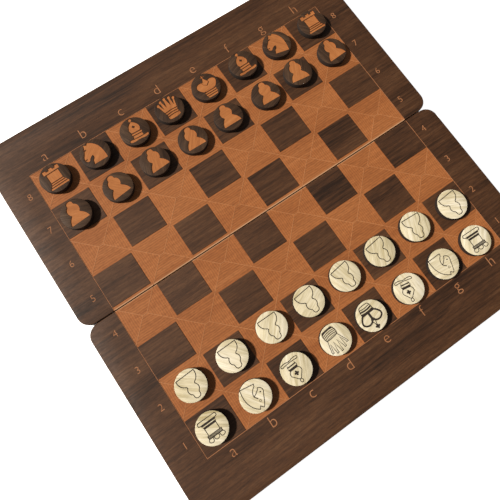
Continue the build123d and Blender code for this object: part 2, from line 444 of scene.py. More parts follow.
def repeat_tree(name: str) -> bpy.types.NodeTree:
    """Builds a tree that sets one unit on every point of a mesh and joins them into one form.

    Args:
        name: the tree's name.

    Returns:
        The tree, with the named inputs Points, Unit, Turn and Finish.
    """
    tree = bpy.data.node_groups.new(name, "GeometryNodeTree")
    for label, kind in (("Points", "Geometry"), ("Unit", "Object"), ("Turn", "Float"),
                        ("Finish", "Material")):
        tree.interface.new_socket(label, in_out="INPUT", socket_type=f"NodeSocket{kind}")
    tree.interface.new_socket("Form", in_out="OUTPUT", socket_type="NodeSocketGeometry")
    given = add(tree, "NodeGroupInput")
    unit = add(tree, "GeometryNodeObjectInfo", {"transform_space": "ORIGINAL"}, {
        "Object": given.outputs["Unit"]})
    order = add(tree, "GeometryNodeInputIndex")
    angle = add(tree, "ShaderNodeMath", {"operation": "MULTIPLY"}, {0: order, 1: given.outputs["Turn"]})
    spin = add(tree, "ShaderNodeCombineXYZ", None, {"Z": angle})
    turn = add(tree, "FunctionNodeEulerToRotation", None, {0: spin})
    placed = add(tree, "GeometryNodeInstanceOnPoints", None, {
        "Points": given.outputs["Points"], "Instance": unit.outputs["Geometry"], "Rotation": turn})
    real = add(tree, "GeometryNodeRealizeInstances", None, {"Geometry": placed})
    dressed = add(tree, "GeometryNodeSetMaterial", None, {
        "Geometry": real, "Material": given.outputs["Finish"]})
    add(tree, "NodeGroupOutput", None, {"Form": dressed})
    return tree


def through_nodes(points: bpy.types.Mesh, tree: bpy.types.NodeTree,
                  values: dict[str, Any]) -> bpy.types.Mesh:
    """Runs a mesh through a node tree and returns the result as a plain mesh.

    Args:
        points: the mesh that the tree works on.
        tree: the tree.
        values: what to set on its named inputs.

    Returns:
        The plain mesh.
    """
    holder = place("holder", points)
    modifier = holder.modifiers.new("nodes", "NODES")
    modifier.node_group = tree
    for item in tree.interface.items_tree:
        if item.item_type == "SOCKET" and item.in_out == "INPUT" and item.name in values:
            modifier[item.identifier] = values[item.name]
    mesh = evaluated_mesh(holder)
    discard(holder)
    return mesh


def point_mesh(points: Iterable[Sequence[float]]) -> bpy.types.Mesh:
    """Mesh of loose points, given in millimetres."""
    mesh = bpy.data.meshes.new("points")
    mesh.from_pydata([[c * MM for c in p] for p in points], [], [])
    return mesh


# ---- finishes ----

def new_material(name: str) -> tuple[bpy.types.Material, bpy.types.NodeTree]:
    """Empty material and its node tree."""
    material = bpy.data.materials.new(name)
    material.use_nodes = True
    material.node_tree.nodes.clear()
    return material, material.node_tree


def finish_shader(tree: bpy.types.NodeTree, inputs: dict[int | str, Any]) -> None:
    """Adds the surface shader with its inputs, and the output."""
    shader = add(tree, "ShaderNodeBsdfPrincipled", None, inputs)
    add(tree, "ShaderNodeOutputMaterial", None, {"Surface": shader})


def grain(tree: bpy.types.NodeTree, size: Sequence[float], inputs: dict[str, Any],
          attribute: str = "") -> bpy.types.Node:
    """Adds the pattern that every finish starts from: noise with its own grain along each axis.

    Args:
        tree: the material's tree.
        size: how long one grain is along X, Y and Z, mm; math.inf where the pattern never changes.
        inputs: the noise's own inputs; a "W" among them picks one of many patterns.
        attribute: a vector attribute to read, or "" for the object's own coordinates.

    Returns:
        The noise node.
    """
    if attribute:
        source = add(tree, "ShaderNodeAttribute", {"attribute_name": attribute}).outputs["Vector"]
    else:
        source = add(tree, "ShaderNodeTexCoord").outputs["Object"]
    space = add(tree, "ShaderNodeMapping", None, {
        "Vector": source, "Scale": tuple(1 / (length * MM) for length in size)})
    dimensions = "4D" if "W" in inputs else "3D"
    return add(tree, "ShaderNodeTexNoise", {"noise_dimensions": dimensions}, {
        "Vector": space, "Scale": 1.0, **inputs})


@dataclass(frozen=True)
class Wood:
    """Planed or milled wood with streaks along X and fine pores.

    The streaks are the growth rings cut lengthwise, and the pores are short dark dashes between them.
    """

    name: str
    base: str
    dark: str
    light: str
    streak: Point = (60.0, 2.4)  # mm, along and across the grain
    pore: Point = (5.0, 0.28)
    pore_depth: float = 0.25  # how much darker the pores are
    spread: float = 0.16  # how soon the streaks reach their darkest and lightest; smaller is stronger
    roughness: float = 0.5
    gloss: float = 0.3  # how much of the oil's or lacquer's shine is left
    relief: float = 0.03  # mm
    wander: float = 0.5  # how far the streaks bend off straight
    attribute: str = ""
    seed: float = 0.0

    def material(self) -> bpy.types.Material:
        """Builds the material."""
        material, tree = new_material(self.name)
        along, across = self.streak
        streaks = grain(tree, (along, across, across), {
            "W": self.seed, "Detail": 5.0, "Roughness": 0.62, "Distortion": self.wander}, self.attribute)
        broad = grain(tree, (along * 3, across * 9, math.inf), {
            "W": self.seed + 3, "Detail": 2.0}, self.attribute)
        both = add(tree, "ShaderNodeMix", {"data_type": "FLOAT"}, {0: 0.4, 2: streaks, 3: broad})
        ramp = add(tree, "ShaderNodeValToRGB", None, {"Fac": both})
        stops = ramp.color_ramp
        stops.elements[0].position = 0.5 - self.spread
        stops.elements[0].color = linear(self.dark)
        stops.elements[1].position = 0.5 + self.spread
        stops.elements[1].color = linear(self.light)
        stops.elements.new(0.5).color = linear(self.base)
        pores = grain(tree, (*self.pore, self.pore[1]), {
            "W": self.seed + 7, "Detail": 3.0, "Roughness": 0.7}, self.attribute)
        shade = add(tree, "ShaderNodeMapRange", None, {
            "Value": pores, "From Min": 0.3, "From Max": 0.62,
            "To Min": 1 - self.pore_depth, "To Max": 1.06})
        colour = add(tree, "ShaderNodeVectorMath", {"operation": "SCALE"}, {0: ramp, "Scale": shade})
        gloss = add(tree, "ShaderNodeMapRange", None, {
            "Value": pores, "From Min": 0.3, "From Max": 0.7,
            "To Min": self.roughness + 0.12, "To Max": self.roughness - 0.05})
        bump = add(tree, "ShaderNodeBump", None, {
            "Strength": 0.6, "Distance": self.relief * MM, "Height": pores})
        finish_shader(tree, {"Base Color": colour, "Roughness": gloss, "Normal": bump,
                             "Specular IOR Level": self.gloss})
        return material


@dataclass(frozen=True)
class MilledCore(Wood):
    """Core wood under the dark face, left by a cutter that ran round each square in shrinking passes."""

    pitch: Point = (30.0, 27.2)
    reach: Point = (16.5, 15.1)
    field_shift: float = 1.1
    pass_width: float = 1.5  # mm between two passes
    pass_tone: float = 0.12
    pass_wobble: float = 1.6  # mm that a pass may stray by
    wobble_size: float = 7.0  # mm from one stray to the next
    facet_sheen_tone: float = 0.06  # painted sheen: how much lighter the passes along Y are painted, for their different shine
    wall_highlight_tone: float = 0.16  # painted highlight: how much lighter the wood is painted near a square's wall or the fold
    wall_highlight_width: float = 0.9  # mm
    fold_strip_colour: str = "#C8A27E"  # colour of the paler strip along the fold
    fold_strip_share: float = 0.55
    fold_strip_width: float = 1.1  # mm each side of the strip's middle
    fold_strip_middle: float = 0.2  # mm past the fold

    def material(self) -> bpy.types.Material:
        """Builds the wood, then shades it by how far a point lies from its square's wall, with a painted
        sheen on the passes along Y, a painted highlight along the walls and the fold, and a paler strip at
        the fold.
        """
        material = super().material()
        tree = material.node_tree
        shader = next(n for n in tree.nodes if n.type == "BSDF_PRINCIPLED")
        wood = shader.inputs["Base Color"].links[0].from_socket
        place_mm = add(tree, "ShaderNodeMapping", None, {
            "Vector": add(tree, "ShaderNodeTexCoord").outputs["Object"],
            "Location": (0.0, -self.field_shift, 0.0), "Scale": (1 / MM,) * 3})
        axes = add(tree, "ShaderNodeSeparateXYZ", None, {"Vector": place_mm})
        gaps = []
        for axis in range(2):
            pitch = self.pitch[axis]
            inside = add(tree, "ShaderNodeMath", {"operation": "FLOORED_MODULO"}, {
                0: axes.outputs[axis], 1: pitch})
            offset = add(tree, "ShaderNodeMath", {"operation": "SUBTRACT"}, {0: inside, 1: pitch / 2})
            away = add(tree, "ShaderNodeMath", {"operation": "ABSOLUTE"}, {0: offset})
            gaps.append(add(tree, "ShaderNodeMath", {"operation": "SUBTRACT"}, {
                0: self.reach[axis], 1: away}))
        wall = add(tree, "ShaderNodeMath", {"operation": "MINIMUM"}, {0: gaps[0], 1: gaps[1]})
        facet = add(tree, "ShaderNodeMath", {"operation": "LESS_THAN"}, {0: gaps[0], 1: gaps[1]})
        # Painted sheen: the facets whose passes run along Y are painted lighter, standing in for their
        # shine.
        lean = add(tree, "ShaderNodeMath", {"operation": "MULTIPLY_ADD"}, {
            0: facet, 1: self.facet_sheen_tone, 2: 1.0})
        wobble = grain(tree, (self.wobble_size,) * 3, {"Detail": 2.0})
        strayed = add(tree, "ShaderNodeMath", {"operation": "MULTIPLY_ADD"}, {
            0: wobble, 1: self.pass_wobble, 2: wall})
        phase = add(tree, "ShaderNodeMath", {"operation": "MULTIPLY"}, {
            0: strayed, 1: 2 * math.pi / self.pass_width})
        wave = add(tree, "ShaderNodeMath", {"operation": "COSINE"}, {0: phase})
        tone = add(tree, "ShaderNodeMapRange", None, {
            "Value": wave, "From Min": -1.0, "From Max": 1.0,
            "To Min": 1 - self.pass_tone, "To Max": 1 + self.pass_tone})
        fold = add(tree, "ShaderNodeMath", {"operation": "ADD"}, {0: axes.outputs[1], 1: self.field_shift})
        from_fold = add(tree, "ShaderNodeMath", {"operation": "ABSOLUTE"}, {0: fold})
        nearest = add(tree, "ShaderNodeMath", {"operation": "MINIMUM"}, {0: wall, 1: from_fold})
        # Painted highlight: the core is painted lighter within the highlight width of a square's wall or the
        # fold, standing in for lit edges.
        rim = add(tree, "ShaderNodeMapRange", None, {
            "Value": nearest, "From Min": self.wall_highlight_width * 0.4, "From Max": self.wall_highlight_width,
            "To Min": 1 + self.wall_highlight_tone, "To Max": 1.0})
        milled = add(tree, "ShaderNodeMath", {"operation": "MULTIPLY"}, {0: tone, 1: lean})
        both = add(tree, "ShaderNodeMath", {"operation": "MULTIPLY"}, {0: milled, 1: rim})
        shaded = add(tree, "ShaderNodeVectorMath", {"operation": "SCALE"}, {0: wood, "Scale": both})
        # A paler strip along the fold: the core's colour is mixed toward the strip colour near the fold.
        off_middle = add(tree, "ShaderNodeMath", {"operation": "SUBTRACT"}, {0: fold, 1: self.fold_strip_middle})
        from_middle = add(tree, "ShaderNodeMath", {"operation": "ABSOLUTE"}, {0: off_middle})
        share = add(tree, "ShaderNodeMapRange", None, {
            "Value": from_middle, "From Min": self.fold_strip_width * 0.7, "From Max": self.fold_strip_width,
            "To Min": self.fold_strip_share, "To Max": 0.0})
        fold_strip_mixed = add(tree, "ShaderNodeMix", {"data_type": "RGBA"}, {
            0: share, 6: shaded, 7: linear(self.fold_strip_colour)})
        tree.links.new(fold_strip_mixed.outputs[2], shader.inputs["Base Color"])
        return material


@dataclass(frozen=True)
class Burnt:
    """Wood charred by a laser: nearly black brown, matt, with faint upright scorch streaks."""

    name: str
    base: str = "#150E0A"
    light: str = "#2A1D15"
    streak: float = 0.5  # mm

    def material(self) -> bpy.types.Material:
        """Builds the material."""
        material, tree = new_material(self.name)
        char = grain(tree, (self.streak, self.streak, self.streak * 8), {"Detail": 3.0})
        colour = add(tree, "ShaderNodeMix", {"data_type": "RGBA"}, {
            0: char, 6: linear(self.base), 7: linear(self.light)})
        bump = add(tree, "ShaderNodeBump", None, {"Strength": 0.4, "Distance": 0.03 * MM, "Height": char})
        finish_shader(tree, {"Base Color": colour.outputs[2], "Roughness": 0.8, "Normal": bump})
        return material


@dataclass(frozen=True)
class Metal:
    """Bare or plated metal, with brushing or rolling marks along X and a little tarnish."""

    name: str
    base: str
    tarnish: str
    roughness: float = 0.3
    mark: Point = (6.0, 0.12)  # mm
    stain: float = 4.0  # mm

    def material(self) -> bpy.types.Material:
        """Builds the material."""
        material, tree = new_material(self.name)
        marks = grain(tree, (*self.mark, self.mark[1]), {"Detail": 2.0})
        stain = grain(tree, (self.stain,) * 3, {"Detail": 4.0})
        cover = add(tree, "ShaderNodeMapRange", None, {"Value": stain, "From Min": 0.45, "From Max": 0.75})
        colour = add(tree, "ShaderNodeMix", {"data_type": "RGBA"}, {
            0: cover, 6: linear(self.base), 7: linear(self.tarnish)})
        gloss = add(tree, "ShaderNodeMapRange", None, {
            "Value": marks, "To Min": self.roughness - 0.08, "To Max": self.roughness + 0.14})
        bump = add(tree, "ShaderNodeBump", None, {"Strength": 0.3, "Distance": 0.01 * MM, "Height": marks})
        finish_shader(tree, {"Base Color": colour.outputs[2], "Metallic": 1.0, "Roughness": gloss,
                             "Normal": bump})
        return material


@dataclass(frozen=True)
class Felt:
    """Pressed wool felt: matted fibres that scatter light softly at grazing angles."""

    name: str
    base: str
    light: str
    fibre: float = 0.5  # mm
    patch: float = 16.667  # mm

    def material(self) -> bpy.types.Material:
        """Builds the material."""
        material, tree = new_material(self.name)
        mat = grain(tree, (self.fibre,) * 3, {"Detail": 5.0, "Roughness": 0.75, "Distortion": 1.5})
        patch = grain(tree, (self.patch,) * 3, {"Detail": 2.0})
        cover = add(tree, "ShaderNodeMath", {"operation": "MULTIPLY_ADD"}, {0: patch, 1: 0.4, 2: mat})
        tone = add(tree, "ShaderNodeMapRange", None, {"Value": cover, "From Min": 0.4, "From Max": 1.0})
        colour = add(tree, "ShaderNodeMix", {"data_type": "RGBA"}, {
            0: tone, 6: linear(self.base), 7: linear(self.light)})
        bump = add(tree, "ShaderNodeBump", None, {"Strength": 0.9, "Distance": 0.25 * MM, "Height": mat})
        finish_shader(tree, {"Base Color": colour.outputs[2], "Roughness": 0.95, "Normal": bump,
                             "Sheen Weight": 0.25, "Sheen Roughness": 0.6})
        return material


@dataclass(frozen=True)
class Rubber:
    """Moulded matt rubber with a fine spark-eroded grain and a little dust in it."""

    name: str
    base: str = "#1B1B1C"
    dust: str = "#3A3936"
    pit: float = 0.3  # mm

    def material(self) -> bpy.types.Material:
        """Builds the material."""
        material, tree = new_material(self.name)
        pits = grain(tree, (self.pit,) * 3, {"Detail": 3.0})
        tone = add(tree, "ShaderNodeMapRange", None, {"Value": pits, "From Min": 0.5, "From Max": 0.8})
        colour = add(tree, "ShaderNodeMix", {"data_type": "RGBA"}, {
            0: tone, 6: linear(self.base), 7: linear(self.dust)})
        bump = add(tree, "ShaderNodeBump", None, {"Strength": 0.5, "Distance": 0.05 * MM, "Height": pits})
        finish_shader(tree, {"Base Color": colour.outputs[2], "Roughness": 0.7, "Normal": bump})
        return material


class Finishes:
    """Every material of the set, made once."""

    def __init__(self) -> None:
        """Makes the materials."""
        # Walnut veneer, sliced, sanded and rubbed with oil: dark streaks in brown and open pores that
        # break up a dull sheen. The pores are drawn about three times coarser than life, so that they
        # show at arm's length.
        self.walnut_face = Wood("oiled_walnut_veneer", "#4A2F1C", "#26160B", "#5E4029", streak=(45.0, 2.4),
                                pore=(4.0, 0.7), pore_depth=0.42, spread=0.15, roughness=0.56, relief=0.04,
                                wander=1.2).material()
        # Solid walnut, planed along its length and oiled: longer and straighter streaks, and a little
        # more sheen on the planed sides. These pores are drawn coarser than life too.
        self.walnut_rail = Wood("planed_oiled_walnut", "#432B19", "#27170D", "#5C3F28", streak=(80.0, 2.6),
                                pore=(8.0, 0.6), pore_depth=0.4, spread=0.14, roughness=0.5, relief=0.04,
                                seed=5.0).material()
        # Beech under the veneer, laid bare by a small router bit and left unoiled: matt orange brown, with
        # the bit's passes as faint rings, a painted sheen that lightens the passes along Y, a painted
        # highlight along each square's walls and the fold, and a paler strip along the fold. Its flecks are
        # drawn about twice coarser than life.
        self.core = MilledCore("routed_beech_core", "#985D33", "#824A26", "#A86C40", streak=(40.0, 1.8),
                               pore=(3.0, 0.8), pore_depth=0.24, spread=0.26, roughness=0.6, gloss=0.25,
                               relief=0.05, seed=11.0).material()
        # The same beech on the ridges where the bit's passes meet: painted paler than the floor as a painted
        # highlight on the ridge tops, and smoother.
        self.ridge = Wood("rubbed_beech_ridge", "#AA7147", "#9C653C", "#B47C51", streak=(40.0, 2.0),
                          pore=(3.0, 0.3), pore_depth=0.08, roughness=0.5, relief=0.03,
                          seed=11.0).material()
        # The same beech at the foot of a fine engraved line: dull, and a little paler and less orange than
        # the open core.
        self.core_line = Wood("engraved_beech_line", "#9C6A47", "#8A5B39", "#AA7854", streak=(40.0, 2.0),
                              pore=(3.0, 0.3), pore_depth=0.12, roughness=0.6, relief=0.04,
                              seed=13.0).material()
        # Maple ply, sanded fine and sealed with a thin clear coat: pale and even, with soft greyish
        # streaks.
        self.maple = Wood("sanded_sealed_maple", "#D6CCAE", "#AD9F74", "#EDE6D2", streak=(24.0, 1.9),
                          pore=(6.0, 0.8), pore_depth=0.18, spread=0.15, roughness=0.5, relief=0.02,
                          attribute="grain", seed=17.0).material()
        # The men's dark face, walnut stain wiped over sanded ply: the stain gathers in the pores and
        # leaves them darker, and the face dull. The pores are drawn about twice coarser than life.
        self.stained = Wood("wiped_walnut_stain", "#412F22", "#2E2018", "#55402F", streak=(26.0, 1.5),
                            pore=(5.0, 0.7), pore_depth=0.35, spread=0.14, roughness=0.58, gloss=0.18,
                            relief=0.03, attribute="grain", seed=23.0).material()
        # Beech ply bared by a laser that took the stained face away: warm, matt and a little toasted.
        self.engraved = Wood("laser_engraved_beech", "#A86A3B", "#925830", "#B87A49", streak=(24.0, 1.4),
                             pore=(2.5, 0.5), pore_depth=0.16, spread=0.18, roughness=0.65, gloss=0.2,
                             relief=0.04, attribute="grain", seed=29.0).material()
        # The men's rims, cut through by a laser: charred nearly black and quite matt, with upright
        # scorch marks.
        self.burnt_edge = Burnt("laser_cut_char").material()
        # Shallow lines drawn on maple by a laser: the same char, thinner and browner.
        self.burnt_line = Burnt("laser_scorched_line", base="#140D09", light="#2C1D12",
                                streak=0.3).material()
        # Brass strip, rolled and blanked: lengthwise rolling marks, yellow with brown tarnish spots.
        self.brass = Metal("rolled_brass_strip", "#C9A04E", "#8E6A33", roughness=0.28).material()
        # Brass bar turned on a lathe: a little brighter than the strip, since the tool leaves it clean.
        self.brass_screw = Metal("turned_brass", "#D0A957", "#8E6A33", roughness=0.24).material()
        # Sheet steel with a thin zinc plating: cool grey with a broad soft shine.
        self.steel = Metal("zinc_plated_sheet", "#9A9DA0", "#7E8083", roughness=0.38).material()
        # Pressed and sintered magnets, barrel plated with nickel: nearly a mirror, with no direction to
        # its marks.
        self.nickel = Metal("nickel_plated_magnet", "#C9CACB", "#A5A29C", roughness=0.2,
                            mark=(1.0, 1.0)).material()
        # Wool felt, matted and pressed: no shine at all, with fibres that catch the light when seen
        # aslant.
        self.felt = Felt("pressed_wool_felt", "#1F3328", "#355240").material()
        # Moulded rubber, matt from its mould's spark-eroded grain: black, greyed by dust.
        self.rubber = Rubber("moulded_rubber").material()


# ---- the case ----

class Leaf(Enum):
    """The two halves of the case: which side of the fold each lies on, as the sign of its Y."""

    LOWER = -1
    UPPER = 1

    @property
    def body(self) -> str:
        """The CAD body that this leaf's pieces ride on."""
        return f"{self.name.lower()}_leaf"

    def node(self, piece: str) -> str:
        """The CAD node of one of this leaf's pieces."""
        return f"{self.name.lower()}_{piece}"


def soft_slab(name: str, outline: Sequence[Point], low: float, high: float, soften: float,
              material: bpy.types.Material) -> bpy.types.Object:
    """Upright slab over a convex outline, with its edges sanded round.

    Args:
        name: the object's name.
        outline: the slab's outline, counter-clockwise.
        low: its underside, mm.
        high: its top, mm.
        soften: the radius of its long edges, mm.
        material: its material.

    Returns:
        The closed slab.
    """
    count = len(outline)
    form = bmesh.new()
    arc = [math.pi / 2 / EDGE_STEPS * k for k in range(EDGE_STEPS + 1)]
    levels = [(soften * (1 - math.sin(a)), low + soften * (1 - math.cos(a))) for a in arc]
    levels += [(soften * (1 - math.cos(a)), high - soften * (1 - math.sin(a))) for a in arc]
    loops = []
    for inset, z in levels:
        loop = []
        for i, (x, y) in enumerate(outline):
            before, after = outline[i - 1], outline[(i + 1) % count]
            way_in = Vector((x - before[0], y - before[1])).normalized()
            way_out = Vector((after[0] - x, after[1] - y)).normalized()
            inward = Vector((-way_in.y - way_out.y, way_in.x + way_out.x)).normalized()
            reach = inset / max(SHARP_CORNER, inward.dot(Vector((-way_in.y, way_in.x))))
            loop.append(form.verts.new(((x + inward.x * reach) * MM, (y + inward.y * reach) * MM, z * MM)))
        loops.append(loop)
    for lower, upper in zip(loops, loops[1:]):
        for i in range(count):
            j = (i + 1) % count
            form.faces.new([lower[i], lower[j], upper[j], upper[i]])
    form.faces.new(loops[0][::-1])
    form.faces.new(loops[-1])
    return solid(name, form, material)


def dress_node(node: str, material: bpy.types.Material) -> None:
    """Gives a CAD node that stays in view its material."""
    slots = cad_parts[node].data.materials
    slots.clear()
    slots.append(material)


def corners_of(node: str, hand: int) -> list[Vector]:
    """Corners of a CAD node's mesh on the left (-1) or the right (1), in metres."""
    return [vertex.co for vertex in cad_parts[node].data.vertices if vertex.co.x * hand > 0]


def middle_of(points: Sequence[Vector]) -> Point:
    """Middle of the box round some points, seen from above."""
    xs, ys = [p.x for p in points], [p.y for p in points]
    return (min(xs) + max(xs)) / 2, (min(ys) + max(ys)) / 2


def rectangle(x_low: float, x_high: float, y_low: float, y_high: float) -> list[Point]:
    """Corners of a rectangle, counter-clockwise."""
    return [(x_low, y_low), (x_high, y_low), (x_high, y_high), (x_low, y_high)]


@dataclass
class PlayingPanel:
    """Playing panel of one leaf: a dark-faced board, milled down to its core for the light squares."""

    leaf: Leaf
    finishes: Finishes
    file_pitch: float = 30.0
    rank_pitch: float = 27.2
    squares: int = 8
    field_shift: float = 1.1
    island_margin: float = 1.5
    outline: float = 0.32
    corner: float = 8.5
    softening: float = 0.5
    floor_depth: float = 0.28
    ridge_depth: float = 0.2  # the men rest on the ridges
    ridge_root: float = 0.3  # how far a ridge's cutter reaches under the floor
    ridge_width: float = 0.4
    ridge_middle: float = 1.5  # half length of the straight ridge in the middle of a square
    overlap: float = 0.07  # so that no two cuts share a plane
    letter_size: float = 10.8
    number_size: float = 6.8
    letter_gap: float = 6.2  # field edge to a letter's middle
    number_gap: float = 7.2
    letter_depth: float = 0.12
    letter_thinning: float = -0.011  # how far each stroke's edge moves in, as a share of the size
    number_thinning: float = -0.004
    small_middle: float = 0.228  # middle of a small letter above its foot, as a share of the size
    number_middle: float = 0.31

    def cell(self, column: int, row: int) -> Point:
        """Middle of a square, mm."""
        x = (column + 0.5 - self.squares / 2) * self.file_pitch
        y = (row + 0.5 - self.squares / 2) * self.rank_pitch + self.field_shift
        return x, y

    def islands(self) -> list[list[Point]]:
        """Outlines of the dark squares that are left standing."""
        made = []
        for column in range(self.squares):
            for row in range(self.squares):
                if (column + row) % 2 == 0:
                    x, y = self.cell(column, row)
                    half_x, half_y = self.file_pitch / 2, self.rank_pitch / 2
                    left, right, near, far = [self.island_margin if inner else 0.0 for inner in
                                              (column > 0, column < self.squares - 1, row > 0,
                                               row < self.squares - 1)]
                    made.append(rectangle(x - half_x + left, x + half_x - right,
                                          y - half_y + near, y + half_y - far))
        return made

    def ridge_star(self, floor: float, top: float) -> bpy.types.Object:
        """Ridges that the cutter leaves in one light square, from its middle to its corners."""
        half_x, half_y = self.file_pitch / 2 - self.overlap, self.rank_pitch / 2 - self.overlap
        middle = self.ridge_middle
        runs = [[(-middle, 0.0), (middle, 0.0)]]
        runs += [[(side_x * middle, 0.0), (side_x * half_x, side_y * half_y)]
                 for side_x in (-1, 1) for side_y in (-1, 1)]
        cuts = [piece for run in runs for piece in stroke(run, self.ridge_width)]
        return prism("ridge_star", cuts, [], floor, top, self.finishes.ridge)

    def lettering(self, surface: float) -> bpy.types.Object:
        """Cutter for the files' letters and the ranks' numbers on this leaf."""
        edge_y = self.squares / 2 * self.rank_pitch
        edge_x = self.squares / 2 * self.file_pitch
        side = self.leaf.value
        signs = []
        for i in range(self.squares):
            x = self.cell(i, 0)[0]
            signs.append((FILES[i], self.letter_size, x,
                          side * (edge_y + self.letter_gap) + self.field_shift))
            y = self.cell(0, i)[1]
            if (y > 0) == (side > 0):
                for hand in (-1, 1):
                    signs.append((str(i + 1), self.number_size, hand * (edge_x + self.number_gap), y))
        cuts = []
        for sign, size, x, y in signs:
            curve = bpy.data.curves.new("sign", "FONT")
            curve.body = sign
            curve.size = size
            curve.align_x = "CENTER"
            curve.offset = (self.letter_thinning if sign.isalpha() else self.number_thinning) * size
            curve.resolution_u = 4
            holder = place("sign", curve)
            glyph = evaluated_mesh(holder)
            discard(holder)
            base = y - (self.small_middle if sign.isalpha() else self.number_middle) * size
            for face in glyph.polygons:
                corners = [glyph.vertices[i].co for i in face.vertices]
                cuts.append([(x + corner.x, base + corner.y) for corner in corners])
            bpy.data.meshes.remove(glyph)
        half_x = edge_x + self.outline
        low_y, high_y = self.field_shift - edge_y - self.outline, self.field_shift + edge_y + self.outline
        outer = rectangle(-half_x, half_x, low_y, high_y)
        inner_x, width = edge_x - self.overlap, self.outline + self.overlap
        inner = rectangle(-inner_x, inner_x, low_y + width, high_y - width)
        cuts += [[outer[i], outer[(i + 1) % 4], inner[(i + 1) % 4], inner[i]] for i in range(4)]
        return prism("lettering", cuts, [], surface - self.letter_depth, surface + CLEAR,
                     self.finishes.core_line)

    def build(self) -> bpy.types.Object:
        """Builds and dresses the panel."""
        node = self.leaf.node("panel")
        low, high = box_mm(node)
        middle = (low + high) / 2
        outline = [(x + middle.x, y + middle.y)
                   for x, y in rounded_outline(high.x - low.x, high.y - low.y, self.corner)]
        slab = soft_slab("panel_blank", outline, low.z, high.z, self.softening, self.finishes.walnut_face)
        half_x = self.squares / 2 * self.file_pitch
        half_y = self.squares / 2 * self.rank_pitch
        ground = rectangle(-half_x, half_x, self.field_shift - half_y, self.field_shift + half_y)
        floor = high.z - self.floor_depth
        cutter = prism("recess", [ground], self.islands(), floor, high.z + CLEAR, self.finishes.core)
        star = self.ridge_star(floor - self.ridge_root, high.z - self.ridge_depth)
        middles = [(*self.cell(column, row), 0.0) for column in range(self.squares)
                   for row in range(self.squares) if (column + row) % 2 == 1]
        ridges = place("ridges", through_nodes(point_mesh(middles), repeat_tree("squares_ridges"), {
            "Unit": star, "Turn": 0.0, "Finish": self.finishes.ridge}))
        discard(star)
        recess = place("recess_cut", cut_away(cutter, ridges, crossing=True))
        milled = place("milled", cut_away(slab, recess))
        piece = place(f"{node}_milled", cut_away(milled, self.lettering(high.z)))
        smooth_by_angle(piece.data)
        return stand_in(piece, node, self.leaf.body)


@dataclass
class RailFrame:
    """The four walnut rails under a leaf's panel, with the hinge mortises and the magnets' pockets."""

    leaf: Leaf
    finishes: Finishes
    corner: float = 8.5
    softening: float = 0.4
    mortise_gap: float = 0.1  # round the hinge plates
    groove_radius: float = 1.85  # room for the turning knuckles
    groove_play: float = 0.1  # past each end of a plate
    groove_sides: int = 32
    pocket_radius: float = 3.05
    pocket_depth: float = 2.5
    same_point: float = 0.01  # points closer than this are one point of an outline

    def long_outline(self, low: Vector, high: Vector, square_side: int) -> list[Point]:
        """Outline of a long rail: round corners on one side, square ones on the other.

        Args:
            low: lowest corner of the rail.
            high: highest corner of the rail.
            square_side: the Y sign of the side with square corners.

        Returns:
            The outline, counter-clockwise.
        """
        middle = (low + high) / 2
        kept = []
        for x, y in rounded_outline(high.x - low.x, (high.y - low.y) * 2, self.corner):
            y += square_side * (high.y - low.y) / 2
            point = (x + middle.x, max(low.y, min(high.y, y + middle.y)))
            if not kept or math.dist(point, kept[-1]) > self.same_point:
                kept.append(point)
        edge_y = high.y if square_side > 0 else low.y
        whole = [p for p in kept if abs(p[1] - edge_y) > NOTHING] + [(high.x, edge_y), (low.x, edge_y)]
        return sorted(whole, key=lambda p: math.atan2(p[1] - middle.y, p[0] - middle.x))

    def cut_mortises(self, rail: bpy.types.Object) -> bpy.types.Object:
        """Cuts the rail for its two hinge plates and the knuckles."""
        low, high = box_mm(self.leaf.node("hinge_plates"))
        plates = HingePlates(self.leaf, self.finishes)
        wood, gap, radius = self.finishes.walnut_rail, self.mortise_gap, self.groove_radius
        near, far = sorted([0.0, self.leaf.value * (max(abs(low.y), abs(high.y)) + gap)])
        near -= CLEAR if self.leaf is Leaf.UPPER else 0.0
        far += CLEAR if self.leaf is Leaf.LOWER else 0.0
        for hand in (-1, 1):
            left, right = plates.span(hand)
            pocket = prism("mortise", [rectangle(left - gap, right + gap, near, far)], [],
                           0.0, plates.top(), wood)
            rail = place("rail", cut_away(rail, pocket))
            length = right - left + 2 * self.groove_play
            groove = lathe([(0.0, 0.0), (radius, 0.0), (radius, length), (0.0, length)], [0, 0, 0],
                           self.groove_sides)
            start = Matrix.Translation(((left - self.groove_play) * MM, 0, plates.axis_height * MM))
            bmesh.ops.transform(groove, verts=groove.verts,
                                matrix=start @ Matrix.Rotation(math.pi / 2, 4, "Y"))
            rail = place("rail", cut_away(rail, solid("groove", groove, wood)))
        return rail

    def build(self) -> list[bpy.types.Object]:
        """Builds and dresses the four rails."""
        made = []
        side = self.leaf.value
        for name in ("front_rail", "hinge_rail", "left_rail", "right_rail"):
            node = self.leaf.node(name)
            low, high = box_mm(node)
            if name == "front_rail":
                outline = self.long_outline(low, high, -side)
            elif name == "hinge_rail":
                outline = self.long_outline(low, high, side)
            else:
                outline = rectangle(low.x, high.x, low.y, high.y)
            rail = soft_slab("rail", outline, low.z, high.z, self.softening, self.finishes.walnut_rail)
            if name == "hinge_rail":
                rail = self.cut_mortises(rail)
            if name == "front_rail":
                for hand in (-1, 1):
                    x, y = LatchMagnets(self.leaf, self.finishes).middle(hand)
                    pocket = prism("pocket", [ring(x, y, self.pocket_radius)], [], 0.0,
                                   low.z + self.pocket_depth, self.finishes.walnut_rail)
                    rail = place("rail", cut_away(rail, pocket))
            piece = place(f"{node}_planed", rail.data)
            discard(rail)
            smooth_by_angle(piece.data)
            made.append(stand_in(piece, node, self.leaf.body))
        return made


